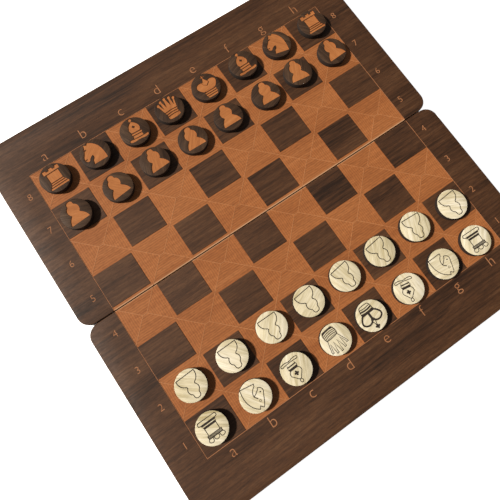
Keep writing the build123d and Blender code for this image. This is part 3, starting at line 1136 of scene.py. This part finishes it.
@dataclass
class HingePlates:
    """One leaf's two brass hinge plates; the CAD nodes themselves are dressed."""

    leaf: Leaf
    finishes: Finishes
    axis_height: float = 1.6
    thickness: float = 1.0

    def span(self, hand: int) -> Point:
        """Lowest and highest X of the plate on the left (-1) or the right (1)."""
        xs = [corner.x / MM for corner in corners_of(self.leaf.node("hinge_plates"), hand)]
        return min(xs), max(xs)

    def top(self) -> float:
        """Height of the plates' hidden face, where the mortise ends."""
        return box_mm(self.leaf.node("hinge_rail"))[0].z + self.thickness

    def dress(self) -> None:
        """Gives the plates their brass."""
        dress_node(self.leaf.node("hinge_plates"), self.finishes.brass)


@dataclass
class LatchMagnets:
    """The round magnets in one leaf's front rail; the CAD nodes themselves are dressed."""

    leaf: Leaf
    finishes: Finishes

    def middle(self, hand: int) -> Point:
        """Middle of the magnet on the left (-1) or the right (1)."""
        return middle_of([corner / MM for corner in corners_of(self.leaf.node("latch_magnets"), hand)])

    def dress(self) -> None:
        """Gives the magnets their plating."""
        dress_node(self.leaf.node("latch_magnets"), self.finishes.nickel)


@dataclass
class HingeScrews:
    """Four slotted countersunk screws in one leaf's hinge plates."""

    leaf: Leaf
    finishes: Finishes
    head_radius: float = 1.7
    shank_radius: float = 0.8
    length: float = 7.0
    edge: float = 0.08  # rounding of the head's rim
    slot_width: float = 0.4
    slot_depth: float = 0.35
    slot_reach: float = 2.0  # half the slot cutter's length, which is more than the head's radius
    plain: float = 0.6  # shank without thread under the head
    tip: float = 0.7  # and at the point
    thread_pitch: float = 0.7
    thread_depth: float = 0.12
    turn: float = 0.55  # radians from one screw's slot to the next one's

    def unit(self) -> bpy.types.Object:
        """One screw, head down, with its head's face at height nought."""
        neck = self.head_radius - self.shank_radius
        profile = [(0.0, 0.0), (self.head_radius - self.edge, 0.0), (self.head_radius, self.edge * 0.6),
                   (self.head_radius - self.edge * 0.4, self.edge), (self.shank_radius, neck)]
        z = neck + self.plain
        while z < self.length - self.tip:
            profile += [(self.shank_radius - self.thread_depth, z),
                        (self.shank_radius, z + self.thread_pitch / 2)]
            z += self.thread_pitch
        profile.append((0.0, self.length))
        brass, reach, half = self.finishes.brass_screw, self.slot_reach, self.slot_width / 2
        screw = solid("screw", lathe(profile, [0] * (len(profile) - 1), SMALL_SIDES), brass)
        slot = prism("slot", [rectangle(-reach, reach, -half, half)], [], -CLEAR, self.slot_depth, brass)
        return place("screw_unit", cut_away(screw, slot))

    def places(self) -> list[tuple[float, float, float]]:
        """Middles of the four screw heads."""
        made = []
        for hand in (-1, 1):
            split = sum(HingePlates(self.leaf, self.finishes).span(hand)) / 2
            corners = [corner / MM for corner in corners_of(self.leaf.node("hinge_screws"), hand)]
            for group in ([p for p in corners if p.x <= split], [p for p in corners if p.x > split]):
                made.append((*middle_of(group), min(p.z for p in group)))
        return sorted(made)

    def build(self) -> bpy.types.Object:
        """Builds and dresses the screws."""
        node = self.leaf.node("hinge_screws")
        unit = self.unit()
        mesh = through_nodes(point_mesh(self.places()), repeat_tree("hinge_screws"), {
            "Unit": unit, "Turn": self.turn, "Finish": self.finishes.brass_screw})
        discard(unit)
        piece = place(f"{node}_slotted", mesh)
        smooth_by_angle(piece.data, 40)
        return stand_in(piece, node, self.leaf.body)


@dataclass
class TrayLining:
    """Felt in the leaf's tray, laid on the steel sheet that holds the men's magnets."""

    leaf: Leaf
    finishes: Finishes
    grid: float = 1.8  # mm between the relief's points
    nap: float = 0.12  # mm, how far the felt's face swells and dips
    swell_share: float = 0.6
    fuzz_share: float = 0.35
    swell_size: float = 7.0  # mm from one swell to the next
    fuzz_size: float = 2.2
    soft_edge: Point = (0.18, 0.2)  # mm that the face's and the back's edges are pressed in by
    seed: int = 4

    def build(self) -> bpy.types.Object:
        """Builds the felt and dresses both sheets."""
        node = self.leaf.node("felt_lining")
        low, high = box_mm(node)
        columns = round((high.x - low.x) / self.grid)
        rows = round((high.y - low.y) / self.grid)
        form = bmesh.new()
        faces = {}
        for face in (0, 1):
            for i in range(columns + 1):
                for j in range(rows + 1):
                    x = low.x + (high.x - low.x) * i / columns
                    y = low.y + (high.y - low.y) * j / rows
                    pressed = self.soft_edge[face] if i in (0, columns) or j in (0, rows) else 0.0
                    if face == 1:
                        z = high.z - pressed
                    else:
                        swell = noise.noise(Vector((x / self.swell_size, y / self.swell_size,
                                                    self.seed + self.leaf.value)))
                        fuzz = noise.noise(Vector((x / self.fuzz_size, y / self.fuzz_size, self.seed + 9)))
                        relief = self.nap * (1.0 + self.swell_share * swell + self.fuzz_share * fuzz)
                        z = low.z + relief + pressed
                    faces[face, i, j] = form.verts.new((x * MM, y * MM, z * MM))
        for i in range(columns):
            for j in range(rows):
                form.faces.new([faces[0, i, j], faces[0, i, j + 1],
                                faces[0, i + 1, j + 1], faces[0, i + 1, j]])
                form.faces.new([faces[1, i, j], faces[1, i + 1, j],
                                faces[1, i + 1, j + 1], faces[1, i, j + 1]])
        walk = ([(i, 0) for i in range(columns)] + [(columns, j) for j in range(rows)]
                + [(i, rows) for i in range(columns, 0, -1)] + [(0, j) for j in range(rows, 0, -1)])
        for a, b in zip(walk, [*walk[1:], walk[0]]):
            form.faces.new([faces[(0, *a)], faces[(0, *b)], faces[(1, *b)], faces[(1, *a)]])
        bmesh.ops.recalc_face_normals(form, faces=form.faces)
        piece = stand_in(solid(f"{node}_laid", form, self.finishes.felt), node, self.leaf.body)
        smooth_by_angle(piece.data, 60)
        steel = self.leaf.node("steel_sheet")
        dress_node(steel, self.finishes.steel)
        return piece


# ---- the men ----

class Colour(Enum):
    """The two sides of the game."""

    WHITE = "white"
    BLACK = "black"


class Kind(Enum):
    """The six kinds of men."""

    PAWN = "pawn"
    ROOK = "rook"
    KNIGHT = "knight"
    BISHOP = "bishop"
    QUEEN = "queen"
    KING = "king"


@dataclass
class Figure:
    """A man's figure, head up, about the middle of its disc: what is cut away and what stays within it."""

    shapes: list[Path] = field(default_factory=list)
    kept: list[Path] = field(default_factory=list)
    lines: list[Line] = field(default_factory=list)
    kept_lines: list[Line] = field(default_factory=list)
    shift: Point = (0.0, 0.0)  # how far it sits off the disc's middle

    def polygons(self, shapes: list[Path], lines: list[Line]) -> list[list[Point]]:
        """Some of its shapes and lines as polygons, moved to where the figure sits on its disc."""
        made = [flat_points(shape) for shape in shapes]
        for path, width, closed in lines:
            made += stroke(flat_points(path, closed), width, closed)
        return [[(x + self.shift[0], y + self.shift[1]) for x, y in polygon] for polygon in made]


def levels(*rows: tuple[float, float, float], sag: float = 0.0) -> list[Line]:
    """Level lines across a figure.

    Args:
        rows: for each line its height, half its length and its width.
        sag: how far they sag in the middle, as a bulge.

    Returns:
        The lines.
    """
    return [([(-half, y, sag), (half, y)], width, False) for y, half, width in rows]


def band(low: float, high: float, half_low: float, half_high: float, rise: float = 0.0) -> Path:
    """Upright-sided or tapering bar across a figure, whose long edges may rise in the middle."""
    return [(-half_low, low, -rise), (half_low, low), (half_high, high, rise), (-half_high, high)]


def hatch(low: float, high: float, half: float, gap: float, width: float) -> list[Line]:
    """Slanting lines that fill a bar, without the shortest ones at its ends."""
    made = []
    height, shortest = high - low, 0.15
    x = -half - height
    while x < half:
        start, end = max(x, -half), min(x + height, half)
        if end - start > shortest:
            made.append(([(start, low + start - x), (end, low + end - x)], width, False))
        x += gap
    return made


def clover(x: float, y: float, reach: float) -> list[Path]:
    """Small cross with four round ends."""
    lobe = reach * 0.42
    arm = lobe * 0.5
    made = [ring(x + dx * (reach - lobe), y + dy * (reach - lobe), lobe)
            for dx, dy in ((1, 0), (-1, 0), (0, 1), (0, -1))]
    made.append(rectangle(x - reach + lobe, x + reach - lobe, y - arm, y + arm))
    made.append(rectangle(x - arm, x + arm, y - reach + lobe, y + reach - lobe))
    return made


DARK_PAWN = mirrored([(0, 9.1, -0.48), (2.35, 6.8), (2.5, 6.1, -0.5), (3.2, -0.3, 0.1), (3.7, -1.1, -0.2),
                      (6.9, -6.9)])
LIGHT_PAWN = mirrored([(0, 8.5, -0.52), (2.05, 6.4), (2.3, 5.2, -0.5), (2.65, 0.2, 0.1), (3.1, -0.7, -0.3),
                       (6.5, -5.8), (6.5, -7.1)])
ROOK_OUTLINE = mirrored([(0, 7.8), (1.4, 7.8), (1.4, 6.6), (3.3, 6.6), (3.3, 7.8), (6.0, 7.8),
                         (6.0, 4.9), (4.5, 4.4), (4.5, -2.4, 0.12), (6.1, -5.3), (6.7, -5.5), (6.7, -7.2)])
ROOK_FOOT = mirrored([(0, -4.8), (5.6, -4.8, -0.9), (5.6, -7.0), (0, -7.0)])
ROOK_CROWN = mirrored([(0, 6.9, -0.35), (1.6, 6.0, -0.2), (1.3, 4.5), (2.3, 4.5), (2.6, 6.4, -0.5),
                       (4.7, 6.8, -0.5), (5.5, 5.6, -0.1), (4.8, 4.5), (4.9, 2.7), (0, 2.7)])
DARK_KNIGHT: Path = [
    (-3.9, -6.6), (6.6, -6.6, 0.04), (6.4, -1.2, 0.1), (5.0, 4.2, 0.1), (1.6, 8.2, 0.05), (-0.9, 9.6),
    (-1.9, 8.4, -0.15), (-3.9, 9.4), (-4.3, 7.4, 0.05), (-5.3, 4.8, -0.05), (-7.4, 1.4, 0.15),
    (-7.9, -0.7, 0.15), (-7.2, -2.4, 0.25), (-5.3, -3.1, 0.2), (-4.6, -2.2, -0.12), (-1.6, 0.0, -0.35),
    (-3.0, -3.4, -0.1)]
LIGHT_KNIGHT: Path = [
    (-1.9, -7.0), (7.6, -7.0, 0.05), (7.3, -0.6, 0.1), (5.6, 3.8, 0.08), (3.2, 6.6, 0.05), (0.6, 8.3),
    (-0.3, 6.6, -0.1), (-1.9, 8.1), (-2.9, 7.2, -0.05), (-4.1, 4.2, -0.06), (-5.8, -0.6, 0.2),
    (-5.3, -2.9, 0.15), (-3.4, -4.0, 0.3), (-2.7, -2.9, -0.1), (1.1, 0.2, -0.3), (-1.5, -5.4, -0.05)]
DARK_MITRE = mirrored([(0, 7.1), (0.8, 6.4, -0.18), (3.75, 2.8, -0.34), (2.9, -1.2)])
LIGHT_MITRE = mirrored([(0, 6.4), (1.0, 5.8, 0.02), (3.9, 2.3, -0.34), (2.6, -0.8)])
DARK_BASE = mirrored([(0, -5.9), (3.4, -5.7, 0.12), (5.4, -5.5, -0.12), (6.7, -5.5, -0.6), (6.5, -7.3, -0.1),
                      (3.4, -7.7, 0.1), (0, -7.4)])
LIGHT_BASE = mirrored([(0, -5.7), (2.2, -5.5, 0.06), (5.5, -5.2, -0.85), (5.6, -6.8, -0.06),
                       (2.4, -6.9, 0.1), (0, -6.4)])
DARK_QUEEN = mirrored([(0, 8.3), (0.75, 8.1), (1.65, 2.6), (2.6, 7.6), (4.0, 7.3), (3.95, 2.0), (5.2, 5.9),
                       (6.5, 5.5), (4.9, -0.6, -0.12), (4.3, -2.6, 0.1), (4.6, -5.0),
                       (4.4, -6.6, -0.12), (0, -7.2)])
DARK_BALLS: list[Point] = [(-6.1, 6.3), (-3.4, 7.9), (0.0, 8.5), (3.4, 7.9), (6.1, 6.3)]
LIGHT_LOBE: Path = [(0.2, 2.6), (2.0, 3.9, -0.28), (6.1, 3.6, -0.42), (7.0, 0.4, -0.12),
                    (4.5, -2.7), (0.2, -2.7)]
LOBE: Path = [(0, 2.9), (1.7, 3.9, -0.28), (6.1, 4.2, -0.42), (7.4, 0.8, -0.12), (4.5, -2.9), (0, -2.9)]
DARK_DROP = mirrored([(0, 7.2), (0.35, 6.8, 0.08), (2.5, 3.4, -0.2), (1.2, 1.8), (0, 0.9)])
DARK_KING_FOOT = mirrored([(0, -2.4), (4.5, -3.1, -0.14), (4.0, -7.6, -0.2), (3.3, -8.2, -0.05), (0, -8.4)])
LIGHT_DROP = mirrored([(0, 6.2), (0.4, 5.8, 0.05), (1.4, 3.0, -0.2), (0.5, 1.4), (0, 1.0)])


def flipped(path: Path) -> Path:
    """Mirror image of an outline, left for right."""
    return [(-node[0], node[1], -node[2] if len(node) > 2 else 0.0) for node in path]


def light_crown(tips: Sequence[Point], foot: float, valley: float) -> Path:
    """Zigzag of a light queen's crown, from the left end of its band over every tip to the right end."""
    neck, head, height = 0.5, 0.6, 1.0  # half widths of a tip's knob, and how tall it is
    drawn_in = 0.42  # of two tips' X together, where the valley between them lies; a half is midway
    band_top = -2.4
    path: Path = [(-foot, band_top)]
    for i, (x, y) in enumerate(tips):
        path += [(x - neck, y), (x - head, y + height), (x + head, y + height), (x + neck, y)]
        if i + 1 < len(tips):
            path.append(((x + tips[i + 1][0]) * drawn_in, valley))
    return [*path, (foot, band_top)]


def dark_figure(kind: Kind) -> Figure:
    """Figure of a dark man: cut out whole, with its inner lines left standing."""
    if kind is Kind.PAWN:
        return Figure([DARK_PAWN])
    if kind is Kind.ROOK:
        return Figure([ROOK_OUTLINE], kept_lines=levels(
            (4.6, 5.4, 0.3), (-2.4, 5.4, 0.3), (-3.9, 5.8, 0.28), (-5.5, 6.9, 0.3)))
    if kind is Kind.KNIGHT:
        return Figure([DARK_KNIGHT], kept_lines=[
            ([(-4.9, 4.9), (-4.3, 5.6), (-3.5, 5.6)], 0.35, False),
            ([(-7.4, -1.2), (-6.1, -0.9)], 0.28, False)])
    if kind is Kind.BISHOP:
        return Figure([ring(0, 8.1, 1.15), DARK_MITRE, band(-3.1, -1.6, 3.9, 3.9),
                       band(-5.5, -3.4, 3.7, 3.5), DARK_BASE], kept=clover(0.0, 2.9, 0.95))
    if kind is Kind.QUEEN:
        return Figure([DARK_QUEEN, *[ring(x, y, 1.1) for x, y in DARK_BALLS]], kept_lines=levels(
            (-1.0, 5.0, 0.3), (-2.7, 4.7, 0.3), (-4.4, 4.9, 0.3), sag=-0.08), shift=(0.6, 0.0))
    return Figure([DARK_DROP, LOBE, flipped(LOBE), DARK_KING_FOOT, band(7.75, 8.35, 1.6, 1.6),
                   band(6.4, 9.4, 0.35, 0.35)], kept_lines=[
        *levels((-3.4, 5.2, 0.3), (-5.0, 5.2, 0.3), (-6.7, 5.2, 0.28)), (DARK_DROP[1:-1], 0.2, False)],
        shift=(1.1, 0.0))


def light_figure(kind: Kind) -> Figure:
    """Figure of a light man: drawn with burnt lines and bars."""
    thin = 0.5
    if kind is Kind.PAWN:
        return Figure(lines=[(LIGHT_PAWN, 0.55, True)], shift=(-0.2, 0.0))
    if kind is Kind.ROOK:
        return Figure([band(-4.8, -3.7, 5.1, 4.9), band(-3.2, -1.8, 4.7, 4.2)], lines=[
            (ROOK_FOOT, thin, True),
            *[([(x, -2.0), (x, 2.8)], thin, False) for x in (-4.0, 4.0)],
            (ROOK_CROWN, thin, True), *levels((4.5, 4.9, 0.7)), *hatch(2.7, 4.5, 4.8, 0.8, 0.42)])
    if kind is Kind.KNIGHT:
        return Figure([ring(-3.8, -1.1, 0.55, 0.8)], lines=[
            (LIGHT_KNIGHT, 0.5, True), (ring(-1.7, 3.7, 0.65), 0.3, True),
            ([(-0.9, 2.2), (0.9, 0.4)], 0.6, False)])
    if kind is Kind.BISHOP:
        bands = [band(-3.9, -3.1, 3.1, 3.3), band(-2.2, -1.0, 3.3, 3.1)]
        return Figure([*clover(0.0, 2.1, 1.6), *bands], lines=[
            (ring(0, 7.5, 0.95, 1.2), thin, True), (LIGHT_MITRE, thin, True), (LIGHT_BASE, thin, True),
            *[([(x * 2.6, -4.6), (x * 3.1, -3.2), (x * 3.3, -2.2), (x * 2.7, -0.9)], 0.4, False)
              for x in (-1, 1)]], shift=(1.2, 0.0))
    if kind is Kind.QUEEN:
        tips = [(-6.0, 4.7), (-3.2, 6.3), (0.0, 6.9), (3.2, 6.3), (6.0, 4.7)]
        barrel = mirrored([(0, -2.0, -0.05), (4.2, -2.4, -0.2), (4.3, -7.0, -0.22), (3.3, -8.3), (0, -8.3)])
        hoops = levels(*[(-7.1 + 1.15 * i, 4.4, 0.5) for i in range(4)], sag=0.14)
        return Figure([band(-8.1, -7.4, 4.1, 4.3)], lines=[
            (light_crown(tips, 3.9, 0.4), 0.42, False), (barrel, thin, True), *hoops,
            *hatch(-3.3, -2.4, 4.2, 0.95, 0.34)], shift=(1.0, 0.0))
    cap = mirrored([(0, -8.5), (2.6, -8.3, 0.3), (3.9, -7.2, 0.08), (4.6, -2.9), (0, -2.6)])
    bars = [band(*sizes, rise=0.12) for sizes in
            ((-4.3, -3.1, 4.4, 4.6), (-5.9, -4.9, 4.1, 4.25), (-7.1, -6.6, 3.7, 3.9))]
    return Figure([*bars, *clover(0.0, 7.5, 1.7)], lines=[
        (LIGHT_LOBE, 1.15, True), (flipped(LIGHT_LOBE), 1.15, True), (LIGHT_DROP, thin, True),
        (cap, thin, True)], shift=(0.7, 0.0))


@dataclass
class ChessMan:
    """Pattern for one kind of man in one colour: a flat disc with a magnet, its figure cut by laser."""

    kind: Kind
    colour: Colour
    finishes: Finishes
    slip: Point = (0.0, 0.0)  # how far the laser's bed put this figure off its usual place
    radius: float = 10.4
    thickness: float = 4.2
    softening: float = 0.3
    magnet_radius: float = 3.0
    magnet_depth: float = 2.0
    magnet_gap: float = 0.05
    magnet_edge: float = 0.15  # rounding of the magnet's rims
    magnet_sides: int = 48
    dark_depth: float = 0.35
    light_depth: float = 0.12

    def disc(self) -> bpy.types.Object:
        """The disc before its figure is cut, with the magnet in its blind hole."""
        r, t, s = self.radius, self.thickness, self.softening
        hole = self.magnet_radius + self.magnet_gap
        roof = self.magnet_depth + self.magnet_gap
        profile = [(0.0, roof), (hole, roof), (hole, 0.0), (r - s, 0.0), (r - s * 0.3, s * 0.3), (r, s),
                   (r, t - s), (r - s * 0.3, t - s * 0.3), (r - s, t), (0.0, t)]
        form = lathe(profile, [1, 1, 0, 1, 1, 1, 1, 0, 0])
        m, edge, depth = self.magnet_radius, self.magnet_edge, self.magnet_depth
        plug = solid("plug", lathe([(0.0, 0.0), (m - edge, 0.0), (m, edge), (m, depth - edge),
                                    (m - edge, depth), (0.0, depth)], [2] * 5, self.magnet_sides))
        form.from_mesh(plug.data)
        discard(plug)
        top = self.finishes.maple if self.colour is Colour.WHITE else self.finishes.stained
        return solid("disc", form, top, self.finishes.burnt_edge, self.finishes.nickel)

    def pattern(self) -> bpy.types.Mesh:
        """The finished man about the origin, with its underside at height nought."""
        if self.colour is Colour.WHITE:
            figure, depth, floor = light_figure(self.kind), self.light_depth, self.finishes.burnt_line
        else:
            figure, depth, floor = dark_figure(self.kind), self.dark_depth, self.finishes.engraved
        figure.shift = (figure.shift[0] + self.slip[0], figure.shift[1] + self.slip[1])
        cutter = prism("figure", figure.polygons(figure.shapes, figure.lines),
                       figure.polygons(figure.kept, figure.kept_lines),
                       self.thickness - depth, self.thickness + CLEAR, floor)
        mesh = cut_away(self.disc(), cutter)
        smooth_by_angle(mesh)
        return mesh


@dataclass
class SetUpGame:
    """All thirty-two men on their squares, each turned a little as a hand sets it down."""

    finishes: Finishes
    back_rank: tuple[Kind, ...] = (Kind.ROOK, Kind.KNIGHT, Kind.BISHOP, Kind.QUEEN,
                                   Kind.KING, Kind.BISHOP, Kind.KNIGHT, Kind.ROOK)
    white_back: tuple[float, ...] = (0, -9, 2, 6, 2, -10, 1, -2)
    white_pawns: tuple[float, ...] = (2.5, 1, 0, 6, 8, 7, -3.5, 4)
    black_pawns: tuple[float, ...] = (3.5, 6, 3.5, -1, 0, -1, -7, 3.5)
    black_back: tuple[float, ...] = (2, 0, -3, 1, 0, 2, -13, 0)
    black_pawn_slips: tuple[Point, ...] = ((-0.3, 0.7), (-0.8, 0.7), (0.7, 0.4), (0.0, 0.7),
                                           (-0.2, 0.7), (0.8, 0.7), (-0.7, 0.7), (0.8, 0.7))
    black_back_slips: tuple[Point, ...] = ((0.2, 0.0), (-0.5, 0.0), (0.4, 0.5), (-0.2, -0.3),
                                           (0.0, -0.3), (0.0, 0.4), (0.0, -0.3), (0.2, 0.2))
    grain_shift: float = 1.0  # m, the most that a man's wood is taken from elsewhere in the board
    grain_turn: float = 1.5  # radians, the most that its grain is turned
    seed: int = 31

    def build(self) -> list[bpy.types.Object]:
        """Builds, places and dresses every man."""
        chance = random.Random(self.seed)
        made = []
        pawns, still = (Kind.PAWN,) * len(FILES), ((0.0, 0.0),) * len(FILES)
        rows = [(Colour.WHITE, self.back_rank, self.white_back, still),
                (Colour.WHITE, pawns, self.white_pawns, still),
                (Colour.BLACK, pawns, self.black_pawns, self.black_pawn_slips),
                (Colour.BLACK, self.back_rank, self.black_back, self.black_back_slips)]
        patterns: dict[tuple[Kind, Colour, Point], bpy.types.Mesh] = {}
        for colour, kinds, turns, slips in rows:
            for kind, turn, slip, file_name in zip(kinds, turns, slips, FILES):
                sort = kind, colour, slip
                if sort not in patterns:
                    patterns[sort] = ChessMan(kind, colour, self.finishes, slip).pattern()
                made.append(self.set_down(patterns[sort], colour, kind, file_name, turn, chance))
        return made

    def set_down(self, pattern: bpy.types.Mesh, colour: Colour, kind: Kind, file_name: str, turn: float,
                 chance: random.Random) -> bpy.types.Object:
        """Copies a pattern onto its square.

        Args:
            pattern: the man's mesh about the origin.
            colour: its side.
            kind: its kind.
            file_name: the file that it stands on.
            turn: how far it is turned, in degrees.
            chance: where its wood's grain comes from.

        Returns:
            The man.
        """
        node = f"{colour.value}_{kind.value}_{file_name}"
        low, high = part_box(node)
        mesh = pattern.copy()
        far, most = self.grain_shift, self.grain_turn
        shift = Vector([chance.uniform(-far, far) for _ in range(3)])
        spin = Matrix.Rotation(chance.uniform(-most, most), 3, "Z")
        values = [c for v in mesh.vertices for c in spin @ v.co + shift]
        mesh.attributes.new("grain", "FLOAT_VECTOR", "POINT").data.foreach_set("vector", values)
        facing = math.pi if colour is Colour.WHITE else 0.0
        middle = (low + high) / 2
        mesh.transform(Matrix.Translation((middle.x, middle.y, low.z))
                       @ Matrix.Rotation(facing + math.radians(turn), 4, "Z"))
        return stand_in(place(f"{node}_disc", mesh), node, node)


# ---- the room ----

@dataclass
class Studio:
    """Pale table, soft sky, a low sun from the left and the camera."""

    lens: float = 31.52
    eye: tuple[float, float, float] = (-64.16, -55.77, 301.76)  # mm
    right: tuple[float, float, float] = (0.8239, -0.5658, 0.0328)
    forward: tuple[float, float, float] = (0.1333, 0.1372, -0.9815)
    sun_from: tuple[float, float] = (-0.88, 0.47)
    sun_height: float = 40.0  # degrees
    sun_angle: float = 5.0
    sun_strength: float = 5.4
    sky_strength: float = 0.16
    table_glow: float = 0.92
    table_reach: float = 3000.0  # mm from its middle to its sides
    table_speck: float = 1.4286  # mm

    def build(self) -> None:
        """Builds the table, the lights and the camera."""
        top, tree = new_material("white_laminate_table")
        speck = grain(tree, (self.table_speck,) * 3, {"Detail": 3.0})
        colour = add(tree, "ShaderNodeMix", {"data_type": "RGBA"}, {
            0: speck, 6: linear("#F4F4F2"), 7: linear("#FBFBFA")})
        finish_shader(tree, {"Base Color": colour.outputs[2], "Roughness": 0.6,
                             "Emission Color": linear("#FFFFFF"), "Emission Strength": self.table_glow})
        mesh = bpy.data.meshes.new("table")
        reach = self.table_reach * MM
        corners = [(x, y, 0) for x, y in rectangle(-reach, reach, -reach, reach)]
        mesh.from_pydata(corners, [], [(0, 1, 2, 3)])
        mesh.materials.append(top)
        place("table_top", mesh)
        world = bpy.data.worlds.new("sky")
        world.use_nodes = True
        background = next(n for n in world.node_tree.nodes if n.type == "BACKGROUND")
        background.inputs["Color"].default_value = linear("#F7F9FC")
        background.inputs["Strength"].default_value = self.sky_strength
        bpy.context.scene.world = world
        bpy.context.scene.view_settings.view_transform = "Standard"
        sun = bpy.data.lights.new("sun", "SUN")
        sun.energy = self.sun_strength
        sun.angle = math.radians(self.sun_angle)
        sun.color = linear("#FFF6EA")[:3]
        flat, height = Vector((*self.sun_from, 0)).normalized(), math.radians(self.sun_height)
        source = flat * math.cos(height) + Vector((0, 0, math.sin(height)))
        place("sun", sun).rotation_euler = source.to_track_quat("Z", "Y").to_euler()
        lens = bpy.data.cameras.new("camera")
        lens.lens = self.lens
        lens.sensor_width = 36.0
        lens.clip_start = 0.01
        camera = place("camera", lens)
        back = -Vector(self.forward).normalized()
        right = Vector(self.right)
        right = (right - back * right.dot(back)).normalized()
        up = back.cross(right)
        turn = Matrix((right, up, back)).transposed().to_4x4()
        camera.matrix_world = Matrix.Translation(Vector(self.eye) * MM) @ turn
        bpy.context.scene.camera = camera


def main() -> None:
    """Builds the set in order."""
    logging.basicConfig(level=logging.INFO, format="%(name)s: %(message)s")
    finishes = Finishes()
    pieces = []
    for leaf in Leaf:
        pieces.append(PlayingPanel(leaf, finishes).build())
        pieces += RailFrame(leaf, finishes).build()
        pieces.append(HingeScrews(leaf, finishes).build())
        pieces.append(TrayLining(leaf, finishes).build())
        HingePlates(leaf, finishes).dress()
        LatchMagnets(leaf, finishes).dress()
        dress_node(leaf.node("bumpers"), finishes.rubber)
    dress_node("hinge_pins", finishes.brass_screw)
    pieces += SetUpGame(finishes).build()
    Studio().build()
    for piece in pieces:
        triangles = sum(len(p.vertices) - 2 for p in piece.data.polygons)
        LOG.info("%s: %d triangles", piece.name, triangles)


if __name__ == "__main__":
    main()
